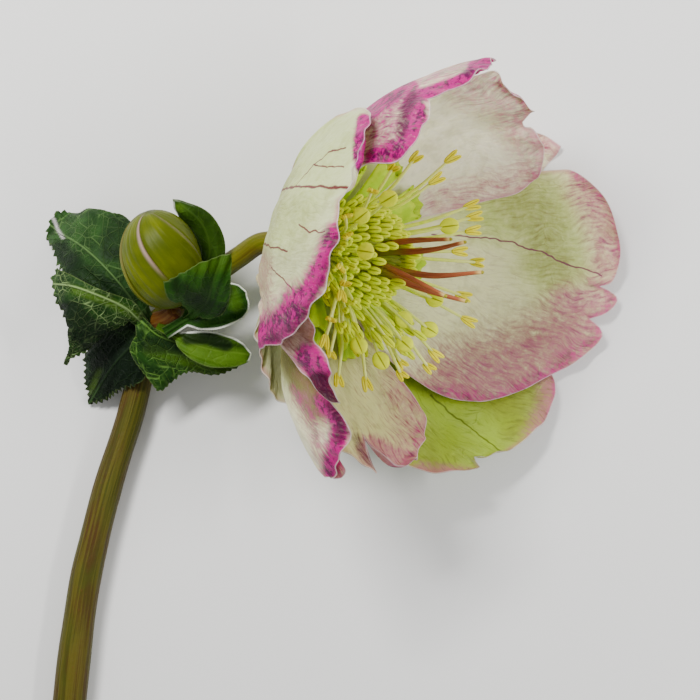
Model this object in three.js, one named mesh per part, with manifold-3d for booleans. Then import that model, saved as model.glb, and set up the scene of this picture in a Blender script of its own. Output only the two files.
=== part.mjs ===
// A cut hellebore lying on its side: one open flower, one bud, the leafy bracts behind it and the stem.
// Millimetres, +Z up. The plan is seen from above with +Y away from the cut end of the stem.
import * as THREE from "three";
import Module from "manifold-3d";

// ---- driving dimensions ----
const BLADE = 0.64; // thickness of every petal-like and leaf-like blade
const FLOWER_AT = [-6.3, 14.5, 15.65]; // where the flower's axis leaves its base
const FLOWER_TILT = 50; // degrees between the flower's axis and the vertical
const FLOWER_HEADING = -10; // degrees in plan, from +X, that the flower faces
const CLAW = [2.4, 2]; // width and height of the foot edge of a tepal
const LEAF_FOOT = [1.2, 0.5]; // the same of a leafy bract
const REACH = 0.4; // share of its outline up to which a blade's middle line runs, unless it gives its own
const FOOT_RADIUS = 2.8; // distance of the feet from the flower's axis
const STEM_END_R = 2.9; // at the cut end
const STEM_TOP_R = 1.8; // at the bracts
const PEDICEL_R = 1.65; // the flower's own stalk, at the bracts
const PEDICEL_TOP_R = 1.5;
const PEDICEL_SWELL = 0.35; // how much it widens under the flower
const BUD_STALK_R = 1.5; // at the bracts
const BUD_STALK_TOP_R = 1.1;
const BUD_R = 5.7;
const TOOTH_LEAN = 0.3;
const STAMEN_R = 0.34; // radius of a filament at its foot
const SEED = 7;

const rad = THREE.MathUtils.degToRad;
const V = (x, y, z) => new THREE.Vector3(x, y, z);
const lerp = THREE.MathUtils.lerp;

// ---- the flower's own frame: E1 and E2 across its axis AX ----
const heading = V(Math.cos(rad(FLOWER_HEADING)), Math.sin(rad(FLOWER_HEADING)), 0);
const AX = heading.clone().multiplyScalar(Math.sin(rad(FLOWER_TILT))).setZ(Math.cos(rad(FLOWER_TILT)));
const E1 = heading.clone().multiplyScalar(Math.cos(rad(FLOWER_TILT))).setZ(-Math.sin(rad(FLOWER_TILT)));
const E2 = AX.clone().cross(E1);
const inFlower = (x, y, z) =>
  V(...FLOWER_AT).addScaledVector(E1, x).addScaledVector(E2, y).addScaledVector(AX, z);
/** A place in the flower by azimuth (degrees), radius and height along the axis. */
const around = (azimuth, r, h) => inFlower(r * Math.cos(rad(azimuth)), r * Math.sin(rad(azimuth)), h);

// ---- tepals ----
// az: azimuth; a0, a1: angle between the blade and the flower's axis at the foot and at `length`;
// rc0, rc1: radius of the blade's cross curve at the foot and at `length`; up: height of the foot;
// roll: degrees the blade turns about its own midrib; lobes: outline, x across and y along, smooth
// within a lobe and sharp where two lobes meet; waves: [x, y, radius, height] bumps towards the axis;
// curls: [from, to, width, angle] strips of the margin, by share of the outline, bent to the axis (+).
const TEPALS = {
  tepal_right: {
    az: 4, a0: 82, a1: 28, length: 46, rc0: 16, rc1: 60, up: 0,
    lobes: [
      [[5, 4], [9.5, 12], [12.8, 21], [14.6, 30], [15.8, 35.5], [15.9, 38.6], [13.2, 43.2], [9.5, 45.6],
        [5.2, 46.9], [2.2, 46.7], [0.3, 46], [-0.4, 44.4]],
      [[-0.4, 44.4], [-1, 46.2], [-2.1, 47.2], [-4.1, 46], [-5.3, 43.6]],
      [[-5.3, 43.6], [-6.5, 45.4], [-8.2, 45.6], [-11.9, 42.4], [-14.4, 38.9], [-17.9, 33.6], [-19.8, 28],
        [-19.5, 21], [-15, 12], [-7, 4]],
    ],
    waves: [[9, 34, 7, 0.8], [-12, 33, 6, -0.7], [1, 26, 6, -0.6]],
    curls: [[0.3, 0.46, 2, 40]],
  },
  tepal_upper: {
    az: 58, a0: 80, a1: 18, length: 38, rc0: 13, rc1: 45, up: 0.95,
    lobes: [
      [[4, 4], [6.5, 11], [9, 19], [9.8, 27], [9.4, 32], [8, 34.9], [4.5, 35.5], [1, 36.6], [-0.6, 36.8],
        [-1.5, 35.6], [-2.9, 33.7]],
      [[-2.9, 33.7], [-4, 33.5], [-4.6, 34.6], [-6.6, 35.2], [-9.6, 34.2], [-12.3, 32], [-13.4, 28.5],
        [-12.4, 23], [-10.5, 17], [-8, 11], [-4.5, 4]],
    ],
    waves: [[-1.5, 27, 4, -0.9], [4, 29, 4, 0.5]],
    curls: [[0.36, 0.5, 1.6, 70]],
  },
  tepal_upper_outer: {
    az: 34, a0: 86, a1: 44, length: 40, rc0: 16, rc1: 45, up: -1.6,
    lobes: [
      [[6, 4], [9, 14], [9, 24], [6.5, 32], [2.8, 38], [1.3, 40], [-0.7, 42]],
      [[-0.7, 42], [-2, 40.9], [-3.3, 39.1], [-4, 38.2], [-6.5, 34], [-9, 27], [-9.5, 18], [-8, 10],
        [-5, 4]],
    ],
  },
  tepal_lower: {
    az: -46, a0: 86, a1: 30, length: 42, rc0: 16, rc1: 50, up: -1.8,
    lobes: [
      [[5, 4], [8, 12], [11.5, 20], [15.5, 28], [18, 35], [18.6, 39.5], [16.6, 42.2], [14.3, 43.1],
        [11.7, 43.6], [8, 43.3], [4.3, 42.4], [0.9, 41.2], [-0.2, 39.6]],
      [[-0.2, 39.6], [-1.5, 41.3], [-4.7, 37.9], [-8, 32.8], [-9.5, 26], [-8.5, 18], [-6.5, 11], [-3.5, 4]],
    ],
    waves: [[3, 33, 5, -0.7]],
    curls: [[0.5, 0.66, 2, 70]],
  },
  tepal_under: {
    az: -84, a0: 80, a1: 22, length: 38, rc0: 12, rc1: 40, up: 1.5,
    lobes: [
      [[4.5, 4], [9.5, 12], [12.6, 20], [12.6, 24.5], [10.8, 28], [8.5, 29.6], [6.4, 31.8], [3.6, 33],
        [1, 32.6], [0, 29.5], [-0.4, 26.3]],
      [[-0.4, 26.3], [-1.4, 28.6], [-2.4, 31.6], [-3, 33], [-5.6, 31.5], [-8, 26], [-8.2, 19], [-5.6, 12],
        [-2.8, 4]],
    ],
    curls: [[0.36, 0.52, 2, 60]],
  },
  tepal_near: {
    az: 184, a0: 69, a1: 8, length: 40.5, rc0: 34, rc1: 41, up: -1.5, roll: -7,
    lobes: [
      [[-6, 4], [-12.6, 9], [-18.3, 15], [-21.3, 22], [-22, 28], [-20.4, 33], [-16.2, 38.2], [-12.6, 40.9],
        [-10, 41], [-8.4, 39.6], [-7.4, 38.2]],
      [[-7.4, 38.2], [-5.5, 38.8], [-2, 40], [3.1, 39.6], [7, 37.5], [10.5, 33.6], [12.3, 29.1],
        [13.4, 23.8], [14.3, 19.4]],
      [[14.3, 19.4], [9.6, 14], [4.6, 8.4], [2, 4]],
    ],
    waves: [[15, 19, 4, -1.2], [-4, 24, 7, -0.5], [8, 18, 5.5, 1], [5, 10, 4.5, -0.6]],
    curls: [[0.36, 0.5, 2, -110]],
  },
  tepal_top: {
    az: 117, a0: 71, a1: 8, length: 39.5, rc0: 14, rc1: 28, up: 0.6, roll: 11,
    lobes: [
      [[-3, 4], [-6.5, 10], [-11, 17], [-14, 24], [-15, 31], [-13, 36.5], [-11, 39.6]],
      [[-11, 39.6], [-8.5, 41], [-5.8, 43], [-2.5, 44.3], [-0.1, 44], [1, 42.6], [2, 41.6]],
      [[2, 41.6], [3.2, 41], [4.3, 39.6]],
      [[4.3, 39.6], [6, 41.4], [8.5, 42.2], [11.6, 42.5], [13.4, 41.9], [14.8, 39.8], [15.4, 35],
        [15.5, 28], [14.5, 20], [12, 12], [7, 4]],
    ],
  },
  tepal_side: {
    az: -121, a0: 81, a1: 11, length: 39, rc0: 12.5, rc1: 20, up: 0.65, roll: -36,
    lobes: [
      [[-2.4, 4], [-3.6, 11], [-5.4, 18], [-6.4, 24], [-6.2, 28], [-5, 31], [-4.3, 35.5], [-3.1, 38.3],
        [-1.8, 39.8], [-0.3, 39.3], [2, 38.1], [3.8, 36.9], [5.5, 35.9], [7.5, 35.2], [10, 32], [12, 29.6],
        [14, 28], [16.5, 26.8], [18.5, 25], [19, 21.5], [17.5, 16], [11.5, 11], [4.2, 4.4]],
    ],
    waves: [[6, 8, 4, 0.35]],
  },
  tepal_flap: {
    az: -145, a0: 75, a1: 8, length: 36, rc0: 14, rc1: 26, up: -0.45, roll: -20, reach: 0.6,
    lobes: [
      [[-0.6, 4], [-1, 10], [-3.2, 17], [-5.2, 24], [-6, 29], [-4.3, 32.1], [-2.8, 32.6], [-1.5, 33],
        [-0.8, 34.6], [0.4, 36.4], [1.9, 37.2], [3, 36.2], [3.6, 36.3], [4.5, 37.7], [5.9, 38.6]],
      [[5.9, 38.6], [6.1, 36.2], [4.1, 32.8], [3.6, 30], [2.5, 25.5], [1.5, 18], [0.7, 10], [0.6, 4]],
    ],
    waves: [[0.5, 6, 4, -0.25]],
  },
  tepal_side_outer: {
    az: -110, a0: 86, a1: 55, length: 28, rc0: 16, rc1: 26, up: -1.4,
    lobes: [
      [[-3, 3.5], [-3.6, 8], [-3.6, 12], [-2.5, 14.6], [-0.9, 16.6], [0.8, 18.8], [2.5, 19.8], [4.6, 20.4],
        [6.4, 19.4], [7.4, 16], [6.6, 10], [3, 3.5]],
    ],
  },
};

/** Catmull-Rom through flat points, n + 1 places spaced by chord. */
function smooth(points, n) {
  const p = points.map(([x, y]) => V(x, y, 0));
  const before = p[0].clone().multiplyScalar(2).sub(p[1]);
  const after = p.at(-1).clone().multiplyScalar(2).sub(p.at(-2));
  const ext = [before, ...p, after];
  const s = [0];
  for (let i = 1; i < p.length; i++) s.push(s[i - 1] + p[i].distanceTo(p[i - 1]));
  return Array.from({ length: n + 1 }, (_, k) => {
    const at = (s.at(-1) * k) / n;
    let i = 0;
    while (i < p.length - 2 && s[i + 1] < at) i++;
    const f = (at - s[i]) / (s[i + 1] - s[i]);
    const [a, b, c, d] = [0, 1, 2, 3].map((j) => ext[i + j]);
    return ["x", "y"].map(
      (q) =>
        0.5 * (2 * b[q] + (c[q] - a[q]) * f + (2 * a[q] - 5 * b[q] + 4 * c[q] - d[q]) * f * f +
          (3 * b[q] - a[q] - 3 * c[q] + d[q]) * f ** 3),
    );
  });
}

/** The outline of joined lobes as about n steps, shared by length. */
function outline(lobes, n) {
  const chord = ([ax, ay], [bx, by]) => Math.hypot(bx - ax, by - ay);
  const long = lobes.map((l) => l.slice(1).reduce((sum, p, i) => sum + chord(p, l[i]), 0));
  const all = long.reduce((a, b) => a + b, 0);
  const steps = long.map((one) => Math.max(2, Math.round((n * one) / all)));
  return lobes.flatMap((l, i) => smooth(l, steps[i]).slice(i ? 1 : 0));
}

const clamp01 = (t) => Math.min(1, Math.max(0, t));
const ease = (t) => clamp01(t) ** 2 * (3 - 2 * clamp01(t));

const CURL_ENDS = 0.05; // share of the outline over which a curled strip comes in and goes out
/** The outline with the two ends of its foot edge. */
function footed(margin, [width, y]) {
  const side = Math.sign(margin[0][0] - margin.at(-1)[0]);
  return [[(side * width) / 2, y], ...margin, [(-side * width) / 2, y]];
}

/** How far up the middle line, in steps, the point j of an outline is joined to it. */
const joinedAt = (j, steps, reach) => Math.min(j, steps - j, Math.floor((steps / 2) * reach));

/** Rows of flat points, from the middle line out to the margin, and the bump each point carries. */
function fan(margin, reach, shares, curls = []) {
  const steps = margin.length - 1;
  const inward = margin.map((_, j) => {
    const a = margin[Math.max(0, j - 1)];
    const b = margin[Math.min(steps, j + 1)];
    const l = Math.hypot(b[0] - a[0], b[1] - a[1]);
    return [(a[1] - b[1]) / l, (b[0] - a[0]) / l];
  });
  const area = margin.reduce((sum, [x, y], j) => sum + x * (margin[(j + 1) % (steps + 1)][1] - y), 0);
  const turn = Math.sign(area) || 1;
  const middle = margin.map((_, j) => {
    const k = joinedAt(j, steps, reach);
    const [a, b] = [margin[k], margin[steps - k]];
    return [(a[0] + b[0]) / 2, (a[1] + b[1]) / 2];
  });
  return shares.map((t) =>
    margin.map(([mx, my], j) => {
      let x = lerp(middle[j][0], mx, t);
      let y = lerp(middle[j][1], my, t);
      let n = 0;
      const o = inward[j].map((c) => -c * turn);
      const inFrom = (mx - x) * o[0] + (my - y) * o[1];
      for (const [from, to, width, angle] of curls) {
        const here = ease((j / steps - from) / CURL_ENDS) * ease((to - j / steps) / CURL_ENDS);
        const bend = rad(angle) * here;
        const s = width - inFrom;
        if (s <= 0 || Math.abs(bend) < 1e-3) continue;
        const back = (width / bend) * Math.sin((bend * s) / width) - s;
        x += o[0] * back;
        y += o[1] * back;
        n += (width / bend) * (1 - Math.cos((bend * s) / width));
      }
      return [x, y, n];
    }),
  );
}

/** A closed blade: at(x, y, n) is the place of a point n mm above the middle of the blade. */
function blade(margin, reach, shares, curls, at) {
  const rows = fan(margin, reach, shares, curls);
  const [nr, nc] = [rows.length, margin.length];
  const top = new Map();
  const bottom = new Map();
  const shared = joinedAt(nc / 2, nc - 1, reach) + 1; // points of the middle line
  const id = (i, j) => (i === 0 ? joinedAt(j, nc - 1, reach) : shared + (i - 1) * nc + j);
  rows.forEach((row, i) =>
    row.forEach(([x, y, n], j) => {
      const a = at(x, y, n + BLADE / 2);
      const b = at(x, y, n - BLADE / 2);
      const lift = Math.max(0, -Math.min(a.z, b.z)); // the blade never goes below the surface
      top.set(id(i, j), a.setZ(a.z + lift));
      bottom.set(id(i, j), b.setZ(b.z + lift));
    }),
  );
  const half = top.size;
  const points = [];
  for (const [k, place] of top) points[k] = place;
  for (const [k, place] of bottom) points[half + k] = place;
  const T = id;
  const B = (i, j) => half + id(i, j);
  const faces = [];
  for (let i = 0; i < nr - 1; i++)
    for (let j = 0; j < nc - 1; j++) {
      faces.push([T(i, j), T(i + 1, j + 1), T(i, j + 1)], [T(i, j), T(i + 1, j), T(i + 1, j + 1)]);
      faces.push([B(i, j), B(i, j + 1), B(i + 1, j + 1)], [B(i, j), B(i + 1, j + 1), B(i + 1, j)]);
    }
  const end = nr - 1;
  for (let j = 0; j < nc - 1; j++)
    faces.push([T(end, j), B(end, j + 1), T(end, j + 1)], [T(end, j), B(end, j), B(end, j + 1)]);
  const last = nc - 1;
  for (let i = 0; i < nr - 1; i++) {
    faces.push([T(i, 0), B(i + 1, 0), T(i + 1, 0)], [T(i, 0), B(i, 0), B(i + 1, 0)]);
    faces.push([T(i, last), T(i + 1, last), B(i + 1, last)], [T(i, last), B(i + 1, last), B(i, last)]);
  }
  return solid(points, faces.filter((f) => new Set(f).size === 3));
}

/** An indexed geometry that faces outwards whichever way its faces were listed. */
function solid(points, faces) {
  let volume = 0;
  for (const [a, b, c] of faces) volume += points[a].dot(points[b].clone().cross(points[c]));
  const g = new THREE.BufferGeometry().setFromPoints(points);
  return g.setIndex(faces.flatMap(([a, b, c]) => (volume > 0 ? [a, b, c] : [a, c, b])));
}

/** Place of a flat tepal point in the flower. */
function tepalPlace(t, x, y, n) {
  const [a0, a1] = [rad(t.a0), rad(t.a1)];
  const k = (a1 - a0) / t.length;
  const along = Math.min(y, t.length);
  const over = Math.max(0, y - t.length);
  const a = a0 + k * along;
  let r = FOOT_RADIUS + (Math.cos(a0) - Math.cos(a)) / k + over * Math.sin(a1);
  let h = t.up + (Math.sin(a) - Math.sin(a0)) / k + over * Math.cos(a1);
  const rc = lerp(t.rc0, t.rc1, Math.min(1.3, Math.max(0, y / t.length)));
  for (const [wx, wy, size, height] of t.waves ?? [])
    n += height * Math.exp(-((x - wx) ** 2 + (y - wy) ** 2) / size ** 2);
  let lat = rc * Math.sin(x / rc);
  let rise = rc * (1 - Math.cos(x / rc)) + n;
  const roll = rad(t.roll ?? 0) * clamp01(y / (0.5 * t.length));
  const [cs, sn] = [Math.cos(roll), Math.sin(roll)];
  [lat, rise] = [lat * cs - rise * sn, lat * sn + rise * cs];
  r -= Math.cos(a) * rise;
  h += Math.sin(a) * rise;
  const p = rad(t.az);
  return inFlower(r * Math.cos(p) - lat * Math.sin(p), r * Math.sin(p) + lat * Math.cos(p), h);
}

const TEPAL_STEPS = 29;
const TEPAL_SHARES = [0, 0.33, 0.68, 1];
const CURLED_SHARES = [0, 0.33, 0.64, 0.86, 1];
const meshes = [];
function add(name, geometry, color, roughness = 0.6) {
  const material = new THREE.MeshStandardMaterial({ color, roughness, side: THREE.DoubleSide });
  const mesh = new THREE.Mesh(geometry, material);
  mesh.name = name;
  meshes.push(mesh);
}
for (const [name, t] of Object.entries(TEPALS)) {
  const margin = footed(outline(t.lobes, TEPAL_STEPS), CLAW);
  const shares = t.curls ? CURLED_SHARES : TEPAL_SHARES;
  const at = (x, y, n) => tepalPlace(t, x, y, n);
  add(name, blade(margin, t.reach ?? REACH, shares, t.curls, at), 0xe9e2cf);
}

// ---- joining solids ----
const wasm = await Module();
wasm.setup();
function toManifold(g) {
  const vertProperties = g.attributes.position.array;
  const triVerts = new Uint32Array(g.index.array);
  return new wasm.Manifold(new wasm.Mesh({ numProp: 3, vertProperties, triVerts }));
}
const SIMPLIFY = 0.02; // details finer than this go when solids are joined
/** One geometry from solids that run into each other; a speck that joining leaves is dropped. */
function join(parts) {
  const bodies = wasm.Manifold.union(parts.map(toManifold)).simplify(SIMPLIFY).decompose();
  const m = bodies.sort((a, b) => b.volume() - a.volume())[0].getMesh();
  const g = new THREE.BufferGeometry();
  g.setAttribute("position", new THREE.BufferAttribute(m.vertProperties, 3));
  return g.setIndex(new THREE.BufferAttribute(m.triVerts, 1));
}

// ---- curves and tubes ----
/** A smooth curve through places, read by length: at(s) gives the place and the direction. */
function spine(points, steps = 8) {
  const p = points.map((q) => V(...q));
  const past = (end, next) => end.clone().multiplyScalar(2).sub(next);
  const ext = [past(p[0], p[1]), ...p, past(p.at(-1), p.at(-2))];
  const line = [];
  for (let i = 0; i < p.length - 1; i++)
    for (let k = i ? 1 : 0; k <= steps; k++) {
      const f = k / steps;
      const [f2, f3] = [f * f, f ** 3];
      const w = [-f + 2 * f2 - f3, 2 - 5 * f2 + 3 * f3, f + 4 * f2 - 3 * f3, f3 - f2];
      const q = V(0, 0, 0);
      w.forEach((c, j) => q.addScaledVector(ext[i + j], c / 2));
      line.push(q);
    }
  const s = [0];
  for (let i = 1; i < line.length; i++) s.push(s[i - 1] + line[i].distanceTo(line[i - 1]));
  return {
    length: s.at(-1),
    at(d) {
      let i = 0;
      while (i < line.length - 2 && s[i + 1] < d) i++;
      const f = (d - s[i]) / (s[i + 1] - s[i]);
      const ahead = line[Math.min(i + 2, line.length - 1)];
      const dir = ahead.clone().sub(line[Math.max(i - 1, 0)]).normalize();
      return { p: line[i].clone().lerp(line[i + 1], f), dir };
    },
  };
}

/** A closed tube of `sides` along places; radius(share) may give [wide, thick]; flat ends. */
function tube(points, radius, sides = 8, segments = 10, across = V(0, 0, 1)) {
  const curve = spine(points);
  const ring = [];
  for (let i = 0; i <= segments; i++) {
    const { p, dir } = curve.at((curve.length * i) / segments);
    const u = across.clone().cross(dir).normalize();
    const w = dir.clone().cross(u);
    const r = [radius(i / segments)].flat();
    for (let k = 0; k < sides; k++) {
      const a = (2 * Math.PI * k) / sides;
      const q = p.clone().addScaledVector(u, r[0] * Math.cos(a));
      q.addScaledVector(w, (r[1] ?? r[0]) * Math.sin(a));
      ring.push(q.setZ(Math.max(0, q.z)));
    }
  }
  const faces = [];
  for (let i = 0; i < segments; i++)
    for (let k = 0; k < sides; k++) {
      const [a, b] = [i * sides + k, i * sides + ((k + 1) % sides)];
      faces.push([a, b, b + sides], [a, b + sides, a + sides]);
    }
  for (let k = 1; k < sides - 1; k++)
    faces.push([0, k + 1, k], [segments * sides, segments * sides + k, segments * sides + k + 1]);
  return solid(ring, faces);
}

/** A solid turned about the flower's axis from [radius, height] pairs: from axis to axis, or a ring. */
function turned(profile, sides = 16) {
  const points = [];
  const faces = [];
  const n = profile.length;
  const id = (k, i) => (profile[i][0] < 1e-6 ? i : n + (k % sides) * n + i);
  for (let i = 0; i < n; i++) points.push(inFlower(0, 0, profile[i][1]));
  for (let k = 0; k < sides; k++)
    for (let i = 0; i < n; i++) points.push(around((360 * k) / sides, profile[i][0], profile[i][1]));
  const closed = profile[0][0] > 1e-6;
  for (let k = 0; k < sides; k++)
    for (let i = 0; i < (closed ? n : n - 1); i++) {
      const j = (i + 1) % n;
      const q = [id(k, i), id(k + 1, i), id(k + 1, j), id(k, j)];
      for (const f of [[q[0], q[1], q[2]], [q[0], q[2], q[3]]])
        if (new Set(f).size === 3) faces.push(f);
    }
  return used(points, faces);
}
/** Drops the points that no face uses. */
function used(points, faces) {
  const seen = [...new Set(faces.flat())];
  const to = new Map(seen.map((v, i) => [v, i]));
  return solid(
    seen.map((v) => points[v]),
    faces.map((f) => f.map((v) => to.get(v))),
  );
}

/** A small ball of three half-lengths along the given directions. */
function bead(at, a, b, c) {
  const g = new THREE.OctahedronGeometry(1, 0);
  const m = new THREE.Matrix4().makeBasis(a, b, c).setPosition(at);
  const pts = [];
  const ids = [];
  const q = g.attributes.position;
  for (let i = 0; i < q.count; i++) {
    const v = V(q.getX(i), q.getY(i), q.getZ(i));
    let k = pts.findIndex((w) => w.distanceTo(v) < 1e-4);
    if (k < 0) k = pts.push(v) - 1;
    ids.push(k);
  }
  const faces = [];
  for (let i = 0; i < ids.length; i += 3) faces.push(ids.slice(i, i + 3));
  return solid(pts.map((v) => v.applyMatrix4(m)), faces);
}

// ---- the middle of the flower ----
let seed = SEED;
const chance = () => {
  seed = (seed * 1103515245 + 12345) % 2147483648;
  return seed / 2147483648;
};

// The cushion that carries the tepals, and the flat funnels that stand round it.
const CUSHION = [[0, -3.2], [1.9, -2.9], [3, -1.6], [3.2, 0], [3.2, 2], [3.8, 2.2], [3.8, 2.6], [0, 2.6]];
const NECTARIES = 10;
const NECTARY_FOOT = [3.4, 2.4]; // radius and height
const NECTARY_WIDE = [0.5, 1.7]; // half width at the foot and the mouth
const NECTARY_THICK = [0.4, 0.8];
function nectary(azimuth, spread, length) {
  const [out, up] = [length * Math.sin(rad(spread)), length * Math.cos(rad(spread))];
  const [r, h] = NECTARY_FOOT;
  const places = [0, 0.5, 1].map((t) => around(azimuth, r + t * out, h + t * up).toArray());
  return tube(places, (t) => [lerp(...NECTARY_WIDE, ease(t * 1.1)), lerp(...NECTARY_THICK, t)], 8, 3, AX);
}
const receptacle = [turned(CUSHION)];
for (let i = 0; i < NECTARIES; i++) {
  const azimuth = (360 * i) / NECTARIES + 8;
  const spread = 55 + 8 * Math.cos(rad(azimuth + 30)) + 3 * chance(); // wider below, as the tepals are
  receptacle.push(nectary(azimuth, spread, 9.5 + 2 * chance()));
}
add("receptacle", join(receptacle), 0xa9c42a);

// Styles and stamens: [azimuth, degrees from the axis, length], read from a place 3 mm up the axis.
const CENTRE_UP = 3;
const STYLES = [[110, 10, 24], [84, 9, 25], [5, 9, 26], [-45, 13, 24.5], [-98, 9, 24]];
const OPEN_STAMENS = [
  [114, 42, 20], [147, 40, 23.5], [100, 42, 21.5], [77, 42, 23.5], [69, 42, 19.5], [41, 42, 22],
  [34, 42, 22], [26, 42, 21.5], [14, 42, 19.5], [8, 43, 22], [348, 42, 21], [336, 42, 23],
  [307, 42, 22], [297, 42, 23], [281, 42, 21], [275, 42, 23], [258, 49, 23.5], [248, 55, 23],
  [231, 51, 23.5], [224, 51, 23.5], [174, 42, 24], [190, 42, 22.5], [197, 41, 24], [204, 42, 23],
  [165, 44, 23.5], [214, 47, 23.5],
];
const DISC_STAMENS = [
  [37, 34, 18.5], [335, 34, 17.5], [309, 34, 19.5], [300, 34, 16], [278, 34, 20], [269, 44, 20],
  [179, 32, 20], [245, 43, 20], [134, 33, 20], [157, 38, 20],
];
const YOUNG_STAMENS = 28; // the dome of unopened ones round the styles
const YOUNG_RING = [3.7, 7.3]; // inner and outer radius of the dome
const YOUNG_TOP = 17;
const GOLDEN_ANGLE = 137.5;
// Half width, half thickness and half length of an anther.
const OPEN_ANTHER = [0.7, 0.55, 1.4];
const DISC_ANTHER = [1.4, 0.6, 1.5];
const YOUNG_ANTHER = [1, 0.75, 1.5];
const ANTHER_NECK_R = 0.24;
const STAMEN_FOOT = [3.1, 4]; // radius and height
const tipOf = ([azimuth, spread, length]) =>
  around(azimuth, length * Math.sin(rad(spread)), CENTRE_UP + length * Math.cos(rad(spread)));
function stamen(tip, azimuth, [wide, thick, long]) {
  const foot = around(azimuth, ...STAMEN_FOOT);
  const arch = foot.clone().lerp(tip, 0.5).addScaledVector(AX, 0.12 * foot.distanceTo(tip));
  const dir = tip.clone().sub(arch).normalize();
  const side = dir.clone().cross(AX).normalize();
  const flat = side.clone().cross(dir);
  const path = [foot, arch, tip].map((p) => p.toArray());
  return [
    tube(path, (t) => lerp(STAMEN_R, ANTHER_NECK_R, t), 3, 2, AX.clone().add(V(0.1, 0.2, 0))),
    bead(tip, dir.multiplyScalar(long), side.multiplyScalar(wide), flat.multiplyScalar(thick)),
  ];
}
const STAMEN_RING = [[2.5, 3.5], [3.6, 3.5], [3.6, 4.2], [2.5, 4.2]]; // what the filaments stand on
const stamens = [turned(STAMEN_RING, 14)];
for (const s of OPEN_STAMENS) stamens.push(...stamen(tipOf(s), s[0], OPEN_ANTHER));
for (const s of DISC_STAMENS) stamens.push(...stamen(tipOf(s), s[0], DISC_ANTHER));
for (let i = 0; i < YOUNG_STAMENS; i++) {
  const r = lerp(...YOUNG_RING, Math.sqrt(i / YOUNG_STAMENS));
  const azimuth = GOLDEN_ANGLE * i;
  const h = YOUNG_TOP - 1.3 * (r - YOUNG_RING[0]) - 1.5 * chance();
  stamens.push(...stamen(around(azimuth, r, h), azimuth, YOUNG_ANTHER));
}
add("stamens", join(stamens), 0xd9d23a);

const OVARY = [[0, 2.9], [2, 2.9], [1.9, 9], [0, 11]];
const STYLE_R = [0.9, 1.05, 0.3]; // at the foot, at the ovary's top and at the tip
const STYLE_BULGE = 0.4; // share of its length at which a style is thickest
function styleRadius(t) {
  const [foot, bulge, tip] = STYLE_R;
  return t < STYLE_BULGE
    ? lerp(foot, bulge, t / STYLE_BULGE)
    : lerp(bulge, tip, ease((t - STYLE_BULGE) / 0.45));
}
const styles = STYLES.map((s, i) => {
  const azimuth = 110 - (360 / STYLES.length) * i;
  const tip = tipOf(s);
  const [foot, ovary] = [around(azimuth, 0.9, 3), around(azimuth, 1.3, 11)];
  const bend = ovary.clone().lerp(tip, 0.55).addScaledVector(AX, 0.4);
  const path = [foot, ovary, bend, tip].map((p) => p.toArray());
  return tube(path, styleRadius, 5, 7, V(0.3, 0.9, 0.1));
});
add("pistil", join([turned(OVARY, 10), ...styles]), 0x8a4a2a);

// ---- stem, stalks and bud ----
const STEM = [
  [-41.7, -72.7, 2.7], [-41.3, -61.1, 2.6], [-40.8, -50.9, 2.6], [-39, -36.3, 2.7], [-37.2, -27.6, 2.8],
  [-34.9, -18.8, 2.8], [-32.1, -10.1, 2.9], [-30.4, -3.6, 3.4], [-29, 1, 5], [-28, 4, 7.3],
];
const PEDICEL = [[-28, 4, 7], [-24.4, 6.9, 6.2], [-19.9, 10.6, 7.1], [-15.8, 13.4, 9.2], [-12.6, 15.3, 11]];
const BUD_STALK = [[-28, 4, 7], [-26.4, 4.6, 9.8], [-25, 5.5, 11.8]];
const pedicelRadius = (t) => lerp(PEDICEL_R, PEDICEL_TOP_R, t) + PEDICEL_SWELL * ease((t - 0.85) / 0.15);
const stem = [
  tube(STEM, (t) => lerp(STEM_END_R, STEM_TOP_R, t ** 0.8), 10, 18),
  tube([...PEDICEL, around(0, 0, -3.6).toArray()], pedicelRadius, 10, 14),
  tube(BUD_STALK, (t) => lerp(BUD_STALK_R, BUD_STALK_TOP_R, t), 8, 4),
];
add("stem", join(stem), 0x7d8438);

const BUD = [[-24.7, 6.2, 12.8], [-28.6, 19.5, 17.3]]; // foot and tip
const SEPALS = 5; // each one's edge steps out over the next, and they wind a little
const SEPAL_TWIST = 0.9;
const SEPAL_STEP = 0.08; // share of the radius
function budBody() {
  const [a, b] = BUD.map((q) => V(...q));
  const dir = b.clone().sub(a);
  const long = dir.length();
  dir.normalize();
  const u = V(0, 0, 1).cross(dir).normalize();
  const w = dir.clone().cross(u);
  const [rings, sides] = [12, 30];
  const points = [a.clone()];
  for (let i = 1; i < rings; i++) {
    const t = i / rings;
    const r = BUD_R * (1 - Math.abs(2 * t ** 0.94 - 1) ** 2.3) ** 0.55;
    for (let k = 0; k < sides; k++) {
      const turn = ((k / sides) * SEPALS + SEPAL_TWIST * t) % 1;
      const q = r * (0.93 + SEPAL_STEP * turn);
      const g = (2 * Math.PI * k) / sides;
      const point = a.clone().addScaledVector(dir, long * t);
      points.push(point.addScaledVector(u, q * Math.cos(g)).addScaledVector(w, q * Math.sin(g)));
    }
  }
  points.push(b.clone());
  const faces = [];
  for (let k = 0; k < sides; k++) {
    const n = (k + 1) % sides;
    faces.push([0, 1 + n, 1 + k]);
    for (let i = 0; i < rings - 2; i++) {
      const [p, q] = [1 + i * sides, 1 + (i + 1) * sides];
      faces.push([p + k, p + n, q + n], [p + k, q + n, q + k]);
    }
    const last = 1 + (rings - 2) * sides;
    faces.push([last + k, last + n, points.length - 1]);
  }
  return solid(points, faces);
}
add("bud", budBody(), 0xb3b83c);

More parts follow.
